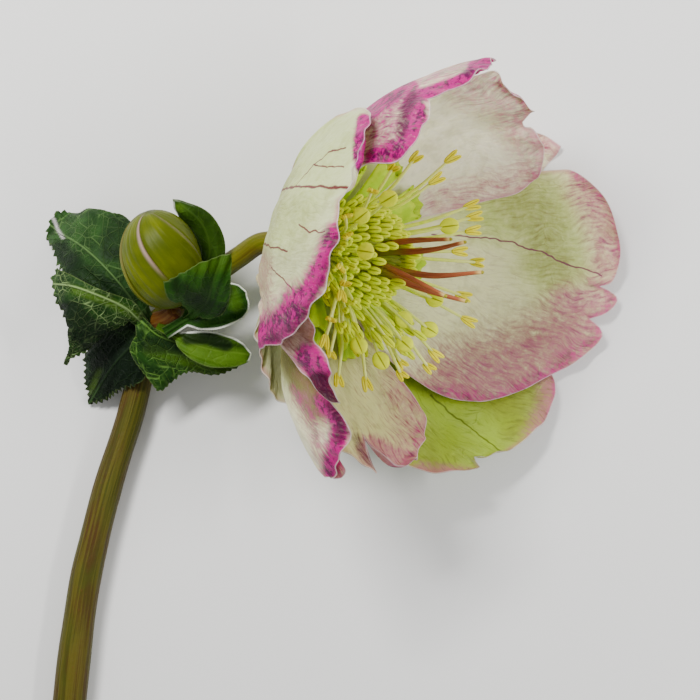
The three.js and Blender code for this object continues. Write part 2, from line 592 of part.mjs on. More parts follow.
// ---- leafy bracts ----
// mid: places along the midrib. right, left: slope at the midrib and its change in degrees a mm, of each
// half. teeth: size, and the shares of the outline between which they run. lobes: x to the right of the
// midrib and y along it. foot: half width and y where the leaf is joined.
const LEAVES = {
  bract_leaf_back: {
    mid: [[-29.4, 4.6, 8.7], [-32.3, 8.7, 9.8], [-35.6, 12.4, 9.6], [-38.8, 15.1, 7.4], [-41.9, 16.9, 3.2],
      [-43.8, 18.2, -0.7]],
    right: [-4, -4], left: [-8, -3], teeth: [0.75, 0.44, 0.8],
    lobes: [
      [[1.4, 1], [3.6, 4], [6.4, 8.4], [7.6, 11.6], [7.4, 14.2], [6.2, 16.8], [4.8, 20.1], [3.3, 23.2],
        [1.9, 26]],
      [[1.9, 26], [0.5, 25.6], [-0.9, 24.8], [-1.7, 23.3], [-2.4, 21], [-4, 18.6], [-4.6, 13.6],
        [-3.8, 8.4], [-2.1, 4.7], [-1, 1.6]],
    ],
  },
  bract_leaf_front: {
    mid: [[-30, 4.1, 9.7], [-32.1, 6.1, 12.4], [-36.3, 8, 14.2], [-39.6, 9.1, 13.4], [-42.1, 9.4, 11]],
    right: [5, -4], left: [-5, -3.5], teeth: [0.75, 0.3, 0.85],
    lobes: [
      [[1.1, 1.4], [1.4, 3.2], [1.1, 5.3], [0.9, 8.3], [1.2, 11.4], [2.2, 15.9]],
      [[2.2, 15.9], [0.4, 16.4], [-2, 15.7], [-4, 14.6], [-7.5, 12.4], [-12.5, 9.4]],
      [[-12.5, 9.4], [-10.3, 7.2], [-8, 4.8], [-5, 2.4], [-2.6, 1.4], [-1.1, 1.3]],
    ],
  },
  bract_leaf_low: {
    mid: [[-29.6, 2.7, 8.2], [-31.4, 0.7, 7.7], [-34.4, -2.6, 6.2], [-37.9, -7.6, 1]],
    right: [-16, -4], left: [2, -0.8], teeth: [0.75, 0.2, 0.8],
    lobes: [
      [[1, 1], [3.4, 2.2], [4.8, 5], [5, 9.3], [3.5, 11.7], [1.8, 13.6], [0.1, 15.4]],
      [[0.1, 15.4], [-1.4, 13.1], [-2.4, 9.8], [-4.5, 6.3], [-4.3, 4], [-3, 2.2], [-1, 1.1]],
    ],
  },
  bract_leaf_right: {
    mid: [[-29.4, 3.7, 9.9], [-27.3, 2, 9.8], [-23.2, 0.4, 8.8], [-19.4, -1.3, 7.6], [-15.7, -2.3, 6.8]],
    right: [-6, -1.6], left: [-4, 0.5], foot: [0.9, 0.3], teeth: [0.4, 0.3, 0.8],
    lobes: [
      [[-0.6, 0.9], [-0.6, 2.6], [-1, 5.4], [-1.3, 9], [-1, 12], [-0.1, 15.3]],
      [[-0.1, 15.3], [1.3, 13.3], [2.2, 11.7], [2.7, 9.5], [4.3, 7.7], [6.5, 6.5], [7.5, 5.4], [6.2, 3.4],
        [4.8, 1.6], [3.6, 0.5], [2, 0.1]],
    ],
  },
  bract_spoon: {
    mid: [[-26.2, 3, 10.6], [-22.9, 1, 11.2], [-19.3, 0, 11], [-15.8, -0.4, 10], [-14.1, -0.7, 9]],
    right: [8, 8], left: [8, 8],
    lobes: [
      [[-0.7, 2], [-1.3, 2.8], [-2.3, 5.2], [-2.6, 8], [-1.9, 10.8], [-0.2, 13.3]],
      [[-0.2, 13.3], [1.2, 12.7], [2.2, 10.4], [2.7, 7.6], [2.2, 4.8], [1.3, 2.8], [0.7, 2]],
    ],
  },
  bract_right: {
    mid: [[-25.2, 3.1, 12], [-22, 5.1, 12.6], [-18.5, 6.8, 12.4], [-15, 8, 11]],
    right: [6, 5], left: [-10, -6],
    lobes: [
      [[-0.8, 2], [-1.8, 3.8], [-2.4, 7.2], [-2.5, 9.6], [-1.6, 11.4], [-0.2, 12]],
      [[-0.2, 12], [1.5, 11.8], [2.9, 10.8], [3.7, 8.6], [3.6, 6], [2.5, 3.6], [0.9, 2]],
    ],
  },
  bract_top: {
    mid: [[-23.6, 7.3, 8.45], [-21.2, 10.6, 10.2], [-19.9, 14.2, 12], [-21, 17.9, 13.4], [-24, 20.6, 14.6]],
    right: [10, -8], left: [-35, -8],
    lobes: [
      [[0.8, 2.2], [1.8, 4.6], [2.2, 9], [2, 12], [1.5, 14.6], [0.6, 17.2], [-0.2, 18.4]],
      [[-0.2, 18.4], [-1, 17.2], [-1.6, 14], [-1.9, 9.4], [-1.4, 4.6], [-0.8, 2.2]],
    ],
  },
  bract_front: {
    mid: [[-22.6, 4.8, 13], [-20.3, 6.7, 17.5], [-19.2, 9.6, 20.7], [-17.8, 13, 21.9]],
    right: [-14, -4], left: [48, -4.5],
    lobes: [
      [[0.8, 1.2], [2.4, 3.4], [3.1, 5], [2.9, 8.6], [1.8, 13], [1, 14.6]],
      [[1, 14.6], [-2.6, 12.6], [-4.3, 11.3], [-5.8, 10.3], [-7.4, 9.6]],
      [[-7.4, 9.6], [-6.1, 7.6], [-4.3, 5.4], [-2.5, 3], [-0.8, 1.2]],
    ],
  },
};
const CREASE = 1.2; // width of each side of the fold at a midrib
/** Place of a flat leaf point: along the midrib's curve, each half bending away from it. */
function leafPlace(curve, t, x, y, n) {
  const s = Math.min(Math.max(y, 0), curve.length);
  const { p, dir } = curve.at(s);
  p.addScaledVector(dir, y - s);
  const right = dir.clone().cross(V(0, 0, 1)).normalize();
  const up = right.clone().cross(dir);
  const side = Math.sign(x) || 1;
  const [slope, change] = (side > 0 ? t.right : t.left).map(rad);
  const end = slope + change * Math.abs(x);
  const lat = (Math.sin(end) - Math.sin(slope)) / change;
  const rise = (Math.cos(slope) - Math.cos(end)) / change;
  const crease = rad(t.right[0] - t.left[0]) / 2; // the thickness leans evenly where the halves meet
  const lean = lerp(crease, side * end, ease(Math.abs(x) / CREASE));
  p.addScaledVector(right, side * lat - Math.sin(lean) * n);
  return p.addScaledVector(up, rise + Math.cos(lean) * n);
}
/** Every second place along the toothed share of a margin stands out as a tooth that leans forward. */
function toothed(margin, [size, from, to]) {
  const steps = margin.length - 1;
  return margin.map(([x, y], j) => {
    if (j % 2 === 0 || j < from * steps || j > to * steps) return [x, y];
    const [a, b] = [margin[j - 1], margin[j + 1]];
    const l = Math.hypot(b[0] - a[0], b[1] - a[1]);
    const n = [(a[1] - b[1]) / l, (b[0] - a[0]) / l];
    const out = Math.sign(n[0] * x + n[1] * (y - 5)) || 1;
    return [x + n[0] * out * size, y + n[1] * out * size + TOOTH_LEAN];
  });
}
const LEAF_SHARES = [0, 0.35, 0.7, 1];
const TOOTHED_STEPS = 32;
const PLAIN_STEPS = 18;
for (const [name, t] of Object.entries(LEAVES)) {
  const curve = spine(t.mid);
  const plain = outline(t.lobes, t.teeth ? TOOTHED_STEPS : PLAIN_STEPS);
  const margin = footed(t.teeth ? toothed(plain, t.teeth) : plain, t.foot ?? LEAF_FOOT);
  const at = (x, y, n) => leafPlace(curve, t, x, y, n);
  add(name, blade(margin, t.reach ?? REACH, LEAF_SHARES, [], at), 0x2c5a2a);
}

const plant = new THREE.Group();
plant.name = "hellebore";
for (const m of meshes) plant.add(m);
const box = new THREE.Box3().setFromObject(plant);
const middle = box.getCenter(V(0, 0, 0));
plant.position.set(-middle.x, -middle.y, -box.min.z); // the middle of the footprint is the origin
export default plant;
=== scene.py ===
import math

import bpy
import numpy as np
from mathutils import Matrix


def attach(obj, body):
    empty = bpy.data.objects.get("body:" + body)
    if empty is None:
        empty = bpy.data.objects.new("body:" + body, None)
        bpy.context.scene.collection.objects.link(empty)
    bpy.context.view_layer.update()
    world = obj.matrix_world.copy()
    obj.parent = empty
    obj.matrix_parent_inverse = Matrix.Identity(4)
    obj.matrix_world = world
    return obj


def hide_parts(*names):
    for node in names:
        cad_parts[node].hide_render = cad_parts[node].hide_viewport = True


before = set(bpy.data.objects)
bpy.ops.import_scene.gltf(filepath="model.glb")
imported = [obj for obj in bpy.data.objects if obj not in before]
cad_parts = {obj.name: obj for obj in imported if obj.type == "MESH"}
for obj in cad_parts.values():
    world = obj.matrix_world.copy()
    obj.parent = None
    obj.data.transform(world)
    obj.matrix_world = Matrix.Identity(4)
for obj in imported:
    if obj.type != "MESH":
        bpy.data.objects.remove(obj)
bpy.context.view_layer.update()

# A cut hellebore on a pale floor, seen from straight above. Sizes are in millimetres until a mesh is made,
# measured from the floor under the middle of the picture.
MM = 0.001
TO_FOOTPRINT = np.array([2.726829529, 16.709661484, 0.0])  # that place, measured from the frame's origin
VIEW_HEIGHT = 439.2  # of the camera above the floor
VIEW_PLANE = 19.2  # height at which the picture is VIEW_WIDTH wide
VIEW_WIDTH = 98.0
PICTURE = 700  # pixels along each side
SENSOR = 36.0
FLOWER_AT = np.array([-6.3, 14.5, 15.65])
TILT = math.radians(50)  # of the flower's axis from upright
HEADING = math.radians(-10)
FOOT_RADIUS = 2.8  # of the ring on which the tepals stand
CLAW = (2.4, 2.0)  # width and height of a tepal's foot edge
LEAF_FOOT = (1.8, -1.4)  # each runs back into what carries it
REACH = 0.4  # share of its outline up to which a blade's middle line runs
TEPAL_THICK = 0.5
LEAF_THICK = 0.45
MARGIN_THIN = 0.25  # share of its thickness that a blade keeps at the margin
MARGIN_TAPER = 1.2
FAN_DEPTH = 7.0  # how far below a blade's foot its hairs and pleats would meet
UP = np.array([0.0, 0.0, 1.0])
LEVEL = np.array([math.cos(HEADING), math.sin(HEADING), 0.0])
AXIS = LEVEL * math.sin(TILT) + UP * math.cos(TILT)
AZIMUTH_0 = LEVEL * math.cos(TILT) - UP * math.sin(TILT)
AZIMUTH_90 = np.cross(AXIS, AZIMUTH_0)


# ---- small mathematics ----
def lerp(a, b, t):
    return a + (b - a) * t


def ease(t):
    t = np.clip(t, 0, 1)
    return t * t * (3 - 2 * t)


def unit(v):
    return v / np.linalg.norm(v, axis=-1, keepdims=True)


def circle(sides):
    return np.linspace(0, 2 * math.pi, sides, endpoint=False)


def in_flower(x, y, z):
    x, y, z = (np.asarray(c, float)[..., None] for c in (x, y, z))
    return FLOWER_AT + x * AZIMUTH_0 + y * AZIMUTH_90 + z * AXIS


def around(azimuth, radius, height):
    """A place in the flower by azimuth (degrees), radius and height along its axis."""
    a = np.radians(azimuth)
    return in_flower(radius * np.cos(a), radius * np.sin(a), height)


def picture_place(p):
    """Pixels of places in the picture."""
    mm = VIEW_WIDTH / PICTURE * (1 - (p[..., 2] - VIEW_PLANE) / (VIEW_HEIGHT - VIEW_PLANE))
    return np.stack([PICTURE / 2 + p[..., 0] / mm, PICTURE / 2 - p[..., 1] / mm], -1)


def spline(points, i, f):
    """Catmull-Rom through points: places a share f of the way from each point i to the next."""
    p = np.vstack([2 * points[0] - points[1], points, 2 * points[-1] - points[-2]])
    a, b, c, d = (p[i + j] for j in range(4))
    f = f[:, None]
    return 0.5 * (2 * b + (c - a) * f + (2 * a - 5 * b + 4 * c - d) * f**2 + (3 * b - a - 3 * c + d) * f**3)


def lengths(points):
    """How long a line of places is up to each of them."""
    return np.concatenate([[0], np.cumsum(np.linalg.norm(np.diff(points, axis=0), axis=1))])


def stretch(s, at):
    """Between which two of the lengths s each of at lies, and the share of the way."""
    i = np.clip(np.searchsorted(s, at, "left") - 1, 0, len(s) - 2)
    return i, (at - s[i]) / (s[i + 1] - s[i])


def outline(lobes, steps):
    """The outline in about so many steps, shared by length. Each lobe begins where the one before it ends."""
    lobes = [np.array([*before[-1:], *lobe], float) for before, lobe in zip([[], *lobes], lobes)]
    whole = sum(lengths(lobe)[-1] for lobe in lobes)
    margin = [lobes[0][:1]]
    for lobe in lobes:
        s = lengths(lobe)
        count = max(2, round(steps * s[-1] / whole))
        margin.append(spline(lobe, *stretch(s, np.linspace(0, s[-1], count + 1)))[1:])
    return np.vstack(margin)


def grown(points, steps=8):
    """A smooth curve through places: its length, and a function from lengths to places and directions."""
    points = np.array(points, float)
    spans = len(points) - 1
    shares = np.tile(np.linspace(0, 1, steps + 1)[:-1], spans)
    line = np.vstack([spline(points, np.repeat(np.arange(spans), steps), shares), points[-1:]])
    s = lengths(line)

    def at(d):
        i, f = stretch(s, d)
        f = f[..., None]
        ahead, behind = line[np.minimum(i + 2, len(line) - 1)], line[np.maximum(i - 1, 0)]
        return line[i] * (1 - f) + line[i + 1] * f, unit(ahead - behind)

    return s[-1], at


def path_distance(places, path):
    """How far places in a plane are from a path."""
    near = np.full(places.shape[:-1], 1e9)
    for a, b in zip(path[:-1], path[1:]):
        d = b - a
        f = np.clip(((places - a) @ d) / max(d @ d, 1e-9), 0, 1)
        near = np.minimum(near, np.linalg.norm(places - a - f[..., None] * d, axis=-1))
    return near


# ---- meshes ----
def linked(name, data):
    made = bpy.data.objects.new(name, data)
    bpy.context.scene.collection.objects.link(made)
    return made


def grid_faces(rows, cols, wrap=False, flip=False):
    """Quads of a grid of places, with its last column joined to its first if it wraps."""
    i, j = np.meshgrid(np.arange(rows - 1), np.arange(cols if wrap else cols - 1), indexing="ij")
    k = (j + 1) % cols
    quads = np.stack([i * cols + j, i * cols + k, (i + 1) * cols + k, (i + 1) * cols + j], -1).reshape(-1, 4)
    return quads[:, ::-1] if flip else quads


def tube_faces(rows, sides):
    """Faces of a tube of rings of places, closed at both ends."""
    last = (rows - 1) * sides
    return [*grid_faces(rows, sides, wrap=True), range(sides)[::-1], range(last, last + sides)]


class Piece:
    """Vertices, faces and named attributes of one piece, gathered solid by solid."""

    def __init__(self):
        self.verts, self.faces, self.attributes, self.count = [], [], {}, 0

    def add(self, verts, faces, **attributes):
        verts = verts.reshape(-1, 3)
        self.verts.append(verts)
        self.faces += [tuple(int(v) + self.count for v in face) for face in faces]
        for key, value in attributes.items():
            self.attributes.setdefault(key, []).append(value.reshape(len(verts), -1))
        self.count += len(verts)

    def add_sheet(self, top, bottom, flip, middle=None, **attributes):
        """A closed sheet between two grids of places, with a pair of grids for each attribute; middle, if
        given, says which columns share the places of row 0."""
        rows, cols = top.shape[:2]
        under = rows * cols
        ids = np.arange(under).reshape(rows, cols)
        if middle is not None:
            ids[0] = middle
        foot = ids[0] if middle is None else ids[0, :1]
        ring = np.concatenate([foot, ids[1:, -1], ids[-1, -2::-1], ids[-2:0:-1, 0]])
        following = np.roll(ring, -1)
        rim = np.stack([ring, ring + under, following + under, following], -1)
        grid = ids.ravel()[grid_faces(rows, cols, flip=flip)]
        faces = np.vstack([grid, grid[:, ::-1] + under, rim[:, ::-1] if flip else rim])
        used, faces = np.unique(faces, return_inverse=True)

        def both(pair):
            return np.vstack([side.reshape(under, -1) for side in pair])[used]

        faces = [tuple(dict.fromkeys(face)) for face in faces.reshape(-1, 4).tolist()]
        self.add(both((top, bottom)), faces, **{key: both(pair) for key, pair in attributes.items()})

    def make(self, name, material, slot, *nodes):
        verts = np.vstack(self.verts)
        verts[:, 2] = np.maximum(verts[:, 2], 0.0)
        mesh = bpy.data.meshes.new(name)
        mesh.from_pydata(((verts + TO_FOOTPRINT) * MM).tolist(), [], self.faces)
        for key, values in self.attributes.items():
            data = np.vstack(values)
            kind, field = ("FLOAT_VECTOR", "vector") if data.shape[1] == 3 else ("FLOAT", "value")
            mesh.attributes.new(key, kind, "POINT").data.foreach_set(field, data.astype(np.float32).ravel())
        mesh.polygons.foreach_set("use_smooth", [True] * len(mesh.polygons))
        mesh.materials.append(material)
        piece = linked(name, mesh)
        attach(piece, "root")
        if nodes:
            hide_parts(*nodes)


def tube(piece, points, radius, sides, segments, across=UP):
    """A tube of radius(share) along places. Its attribute flat is round, along, share of its length."""
    length, at = grown(points)
    share = np.linspace(0, 1, segments + 1)[:, None]
    p, d = at(share * length)
    u = unit(np.cross(across, d))
    w = np.cross(d, u)
    r = np.array([radius(t) for t in share[:, 0]])[:, None]
    a = circle(sides)
    verts = p + u * (r * np.cos(a))[..., None] + w * (r * np.sin(a))[..., None]
    flat = np.stack(np.broadcast_arrays(a * r.mean(), share * length, share), -1)
    piece.add(verts, tube_faces(segments + 1, sides), flat=flat)


def ball(piece, at, long, wide, thick, groove=0.0, waist=0.0, rings=10, sides=16):
    """A rounded body of three half-axes with a groove along its two broad faces and a waist. Its attribute
    flat is across, along, 1 in the groove."""
    t, a = np.linspace(0, math.pi, rings + 1)[1:-1, None], circle(sides)[None]
    across, along, out = np.cos(a), np.cos(t), np.sin(t)
    dip = 1 - groove * np.exp(-(across / 0.34) ** 2) * out**0.5
    width = 1 - waist * np.exp(-(along / 0.4) ** 2)
    verts = (at + long * along[..., None] + wide * (across * out * width)[..., None]
             + thick * (np.sin(a) * out * dip)[..., None])
    blunt = long * (1 - 0.25 * groove)
    flat = np.stack(np.broadcast_arrays(across * out, along, np.exp(-(across / 0.22) ** 2)), -1)
    north, last = (rings - 1) * sides, (rings - 2) * sides
    faces = [*grid_faces(rings - 1, sides, wrap=True, flip=True)]
    faces += [(north, k, (k + 1) % sides) for k in range(sides)]
    faces += [(north + 1, last + (k + 1) % sides, last + k) for k in range(sides)]
    piece.add(np.vstack([verts.reshape(-1, 3), at + blunt, at - blunt]), faces,
              flat=np.vstack([flat.reshape(-1, 3), (0, 1, 0.5), (0, -1, 0.5)]))


# ---- node materials ----
def linear(colour):
    """A colour as the eye sees it, 0 to 255, made linear; a node's output stays as it is."""
    if isinstance(colour, Value):
        return colour
    return (*(c / 255 / 12.92 if c < 10.3 else ((c / 255 + 0.055) / 1.055) ** 2.4 for c in colour), 1.0)


class Value:
    """A node's output, which takes part in sums and products as a number does."""

    def __init__(self, look, socket):
        self.look, self.socket = look, socket

    def __add__(self, other):
        return self.look.maths("ADD", self, other)

    def __sub__(self, other):
        return self.look.maths("SUBTRACT", self, other)

    def __rsub__(self, other):
        return self.look.maths("SUBTRACT", other, self)

    def __mul__(self, other):
        return self.look.maths("MULTIPLY", self, other)

    def clamped(self):
        return self.look.maths("MINIMUM", self.look.maths("MAXIMUM", self, 0), 1)

    def span(self, low, high, out_low=0, out_high=1):
        """Smoothly from out_low to out_high as the value goes from low to high."""
        inputs = (self, low, high, out_low, out_high)
        return self.look.node("MapRange", inputs, interpolation_type="SMOOTHSTEP")


class Look:
    """A material's node tree, written as a few short calls: colours are washed over a ground."""

    def __init__(self, name, roughness=0.5, subsurface=0, specular=0.12):
        self.material = bpy.data.materials.new(name)
        self.material.use_nodes = True
        self.tree = self.material.node_tree
        self.shader = self.tree.nodes["Principled BSDF"]
        settings = {"Roughness": roughness, "Specular IOR Level": specular, "Subsurface Weight": subsurface,
                    "Subsurface Radius": (1, 1, 0.4), "Subsurface Scale": 0.002}
        for socket, value in settings.items():
            self.set(self.shader, socket, value)

    def set(self, node, socket, value):
        if isinstance(value, Value):
            self.tree.links.new(value.socket, node.inputs[socket])
        else:
            node.inputs[socket].default_value = value

    def node(self, kind, inputs=(), output=0, **settings):
        """An output of a new node with inputs by number or name."""
        made = self.tree.nodes.new("ShaderNode" + kind)
        for key, value in settings.items():
            setattr(made, key, value)
        for socket, value in inputs.items() if isinstance(inputs, dict) else enumerate(inputs):
            self.set(made, socket, value)
        return Value(self, made.outputs[output])

    def attribute(self, name, output="Vector"):
        return self.node("Attribute", output=output, attribute_name=name)

    def split(self, vector):
        return [Value(self, made) for made in self.node("SeparateXYZ", [vector]).socket.node.outputs]

    def maths(self, operation, *inputs):
        return self.node("Math", inputs, operation=operation)

    def length(self, x, y):
        return self.maths("SQRT", x * x + y * y)

    def vector(self, place):
        return self.node("CombineXYZ", place) if isinstance(place, tuple) else place

    def noise(self, place, scale=1, detail=2, rough=0.5):
        inputs = {"Vector": self.vector(place), "Scale": scale, "Detail": detail, "Roughness": rough}
        return self.node("TexNoise", inputs, "Fac")

    def net(self, place, scale, width):
        """1 on the edges of irregular cells, 0 beyond a width."""
        inputs = {"Vector": self.vector(place), "Scale": scale, "Randomness": 0.8}
        edge = self.node("TexVoronoi", inputs, "Distance", feature="DISTANCE_TO_EDGE")
        return edge.span(0, width, 1, 0)

    def near_line(self, x, y, path, width):
        """1 on a path of flat places, 0 beyond its width, with a slight wobble."""
        wobble = (self.noise((x, y), 0.35) - 0.5) * 1.1
        x, y = x + wobble, y + wobble
        nearest = None
        for (ax, ay), (bx, by) in zip(path[:-1], path[1:]):
            dx, dy = bx - ax, by - ay
            px, py = x - ax, y - ay
            share = ((px * dx + py * dy) * (1 / (dx * dx + dy * dy))).clamped()
            far = self.length(px - share * dx, py - share * dy)
            nearest = far if nearest is None else self.maths("MINIMUM", nearest, far)
        return nearest.span(0.25 * width, width, 1, 0)

    def mix(self, share, a, b):
        return self.node("Mix", {0: share, 6: linear(a), 7: linear(b)}, 2, data_type="RGBA")

    def wash(self, share, colour):
        self.ground = self.mix(share, self.ground, colour)

    def finished(self, height=None, strength=0, depth=0):
        """The material in the colours of its ground, with bumps of a height."""
        self.set(self.shader, "Base Color", linear(self.ground))
        if height:
            bump = self.node("Bump", {"Height": height, "Strength": strength, "Distance": depth * MM})
            self.set(self.shader, "Normal", bump)
        return self.material


CREAM = (240, 234, 194)
PALE_GREEN = (206, 212, 150)
YELLOW_GREEN = (156, 186, 36)
LIME = (154, 174, 40)
GREY_GREEN = (168, 170, 138)
DUSKY = (206, 170, 160)
MAGENTA = (172, 0, 114)
DEEP_MAGENTA = (90, 0, 66)
PLUM = (62, 0, 38)
ROSE = (176, 104, 122)
OLIVE_AND_SHADE = (116, 112, 54)
WHITE = (250, 246, 236)
MAROON = (128, 36, 58)
BROWN = (134, 92, 80)
# the next two colours are painted highlight and painted shade on the bracts
LEAF_PAINTED_HIGHLIGHT = (88, 122, 24)
LEAF_PAINTED_SHADE = (9, 20, 10)
LEAF_RIM = (96, 112, 60)
LEAF_PALE_RIM = (222, 224, 212)
LEAF_LINE = (196, 188, 186)
STALK_SPECKS = (96, 54, 30)
FLOOR = (226, 225, 222)


def tepal_look(name, inner, outer, vein, hair, lines):
    """A tepal: faint hairs and a fine net that fan out from its foot, single lines, fraying pigment and
    painted shade.
    """
    look = Look(name, subsurface=0.2)
    flat, margin = look.attribute("flat"), look.attribute("edge", "Fac")
    x, y, side = look.split(flat)
    red, green, dark = look.split(look.attribute("paint"))
    olive_and_shade, rose, brown = look.split(look.attribute("tint"))
    deep = y + FAN_DEPTH
    far = look.length(x, deep)
    turn = look.maths("ARCTAN2", x, deep) + (look.noise(flat, 0.09) - 0.5) * 0.22
    hairs = look.noise((turn * 90, far * 0.4), 1, 3, 0.6)
    mottle = look.noise(flat, 0.16, 3)
    specks = look.noise(flat, 1.5, 2, 0.6)
    blots = specks + look.noise(flat, 0.55) * 0.6
    quilt = look.noise(flat, 0.5)
    net = look.net((turn * 40, far * 0.3), 1, 0.06) * mottle.span(0.4, 0.7, 0.1, 1)
    feather = (hairs - 0.5) * 2.2 + (specks - 0.5) * 1.4

    def fray(amount, colour, grain=1):
        """Pigment that frays into hairs where it is thin."""
        thin = amount * (1.15 - amount)
        look.wash((amount + thin * feather * (2 * grain)).clamped(), colour)

    look.ground = look.mix(side.span(-0.2, 0.2), outer, inner)
    look.wash(mottle.span(0.35, 0.7, 0, 0.3), PALE_GREEN)
    look.wash(far.span(9, 24, 0.85, 0), YELLOW_GREEN)
    # painted shade: a faint olive darkening over the quilted relief
    look.wash(quilt.span(0.48, 0.7, 0, 0.2), OLIVE_AND_SHADE)
    fray(green, YELLOW_GREEN, 0.4)
    # olive: partly the tepals' own olive flush, partly painted shade in hollows and along shaded edges
    fray(olive_and_shade, OLIVE_AND_SHADE, 0.5)
    fray(brown, BROWN, 0.8)
    fray(rose, ROSE)
    look.wash(hairs.span(0.5, 0.74) * (rose * 0.6 + hair), vein)
    look.wash(net * (0.4 * hair), vein)
    for path, width in lines:
        look.wash(look.near_line(x, y, path, width) * 0.95, vein)
    blotched = look.mix(blots.span(0.68, 0.88), DEEP_MAGENTA, MAGENTA)
    fray(red * specks.span(0.62, 0.74, 1, 0.75), blotched, 0.75)
    patchy = look.noise(flat, 0.11, 1).span(0.35, 0.6, 0.25, 1)
    look.wash((margin + feather * 0.3).span(0, 0.9, 0.5, 0) * patchy, MAGENTA)
    fray(dark, PLUM, 0.7)
    look.wash(margin.span(0.02, 0.16, 0.3, 0), WHITE)
    look.set(look.shader, "Roughness", mottle.span(0.3, 0.7, 0.42, 0.56))
    return look.finished(hairs * 0.5 + (quilt + net * -0.25), 0.7, 0.35)


def leaf_look(name, dark, light, vein, net, relief):
    """A leafy bract: a midrib, side veins that branch forward, a net between them, and painted highlight and
    painted shade.
    """
    look = Look(name, specular=0.08)
    flat, margin = look.attribute("flat"), look.attribute("edge", "Fac")
    x, y, _ = look.split(flat)
    pale, painted_highlight, painted_shade = look.split(look.attribute("paint"))
    line, _, _ = look.split(look.attribute("tint"))
    off = look.maths("ABSOLUTE", x)
    warp = (look.noise(flat, 0.22) - 0.5) * 1.6
    branch = look.maths("ABSOLUTE", look.maths("SINE", y - off * 1.15 + warp)).span(0, 0.13, 1, 0)
    broken = look.noise(flat, 0.35).span(0.36, 0.56)
    coarse = look.net((x, y + warp), 0.55, 0.07) * (broken * 0.8)
    small = look.net(flat, 1.5, 0.1) * (broken * 0.35)
    veins = look.maths("MAXIMUM", look.maths("MAXIMUM", branch * 0.7, coarse), small)
    veins = look.maths("MAXIMUM", veins, off.span(0.06, 0.26, 1, 0) * 0.9)
    look.ground = look.mix(look.noise(flat, 0.3, 3).span(0.3, 0.72), dark, light)
    # painted highlight: lit strips and edges of the bracts washed lighter
    look.wash(painted_highlight * 0.85, LEAF_PAINTED_HIGHLIGHT)
    look.wash(veins * net, vein)
    # painted shade: folded-under and hollow parts of the bracts washed near black
    look.wash(painted_shade * 0.85, LEAF_PAINTED_SHADE)
    look.wash(margin.span(0.04, 0.2, 0.4, 0), LEAF_RIM)
    look.wash(pale * margin.span(0.1, 0.34, 1, 0), LEAF_PALE_RIM)
    look.wash(line, LEAF_LINE)
    return look.finished((1 - veins) * 0.7 + look.noise(flat, 3.2) * 0.25, relief, 0.4)


def stalk_look(name, green, brown, streak):
    """A stem or stalk with fine ridges along it."""
    look = Look(name, roughness=0.44)
    turn, along, _ = look.split(look.attribute("flat"))
    lines = look.noise((turn * 2.6, along * 0.06), 1, 3, 0.6)
    specks = look.noise((turn * 3, along * 1.4))
    patches = look.noise((turn * 0.3, along * 0.12))
    look.ground = look.mix(patches.span(0.35, 0.65), green, brown)
    look.wash(lines.span(0.4, 0.62, 0, 0.65), streak)
    look.wash(specks.span(0.66, 0.74, 0, 0.5), STALK_SPECKS)
    return look.finished(lines + specks * 0.3, 0.6, 0.3)


def pulp_look(name, base, deep, accent, accent_from=0.5, rough=0.45, glow=0.15):
    """Small fleshy parts: soft mottling, and a seam or tip in another tone from the attribute flat."""
    look = Look(name, rough, glow)
    _, _, seam = look.split(look.attribute("flat"))
    grain = look.noise(look.node("TexCoord", output="Object"), 900, 3)
    look.ground = look.mix(grain.span(0.35, 0.7), base, deep)
    look.wash(seam.span(accent_from, 1, 0, 0.85), accent)
    return look.finished(grain, 0.35, 0.12)


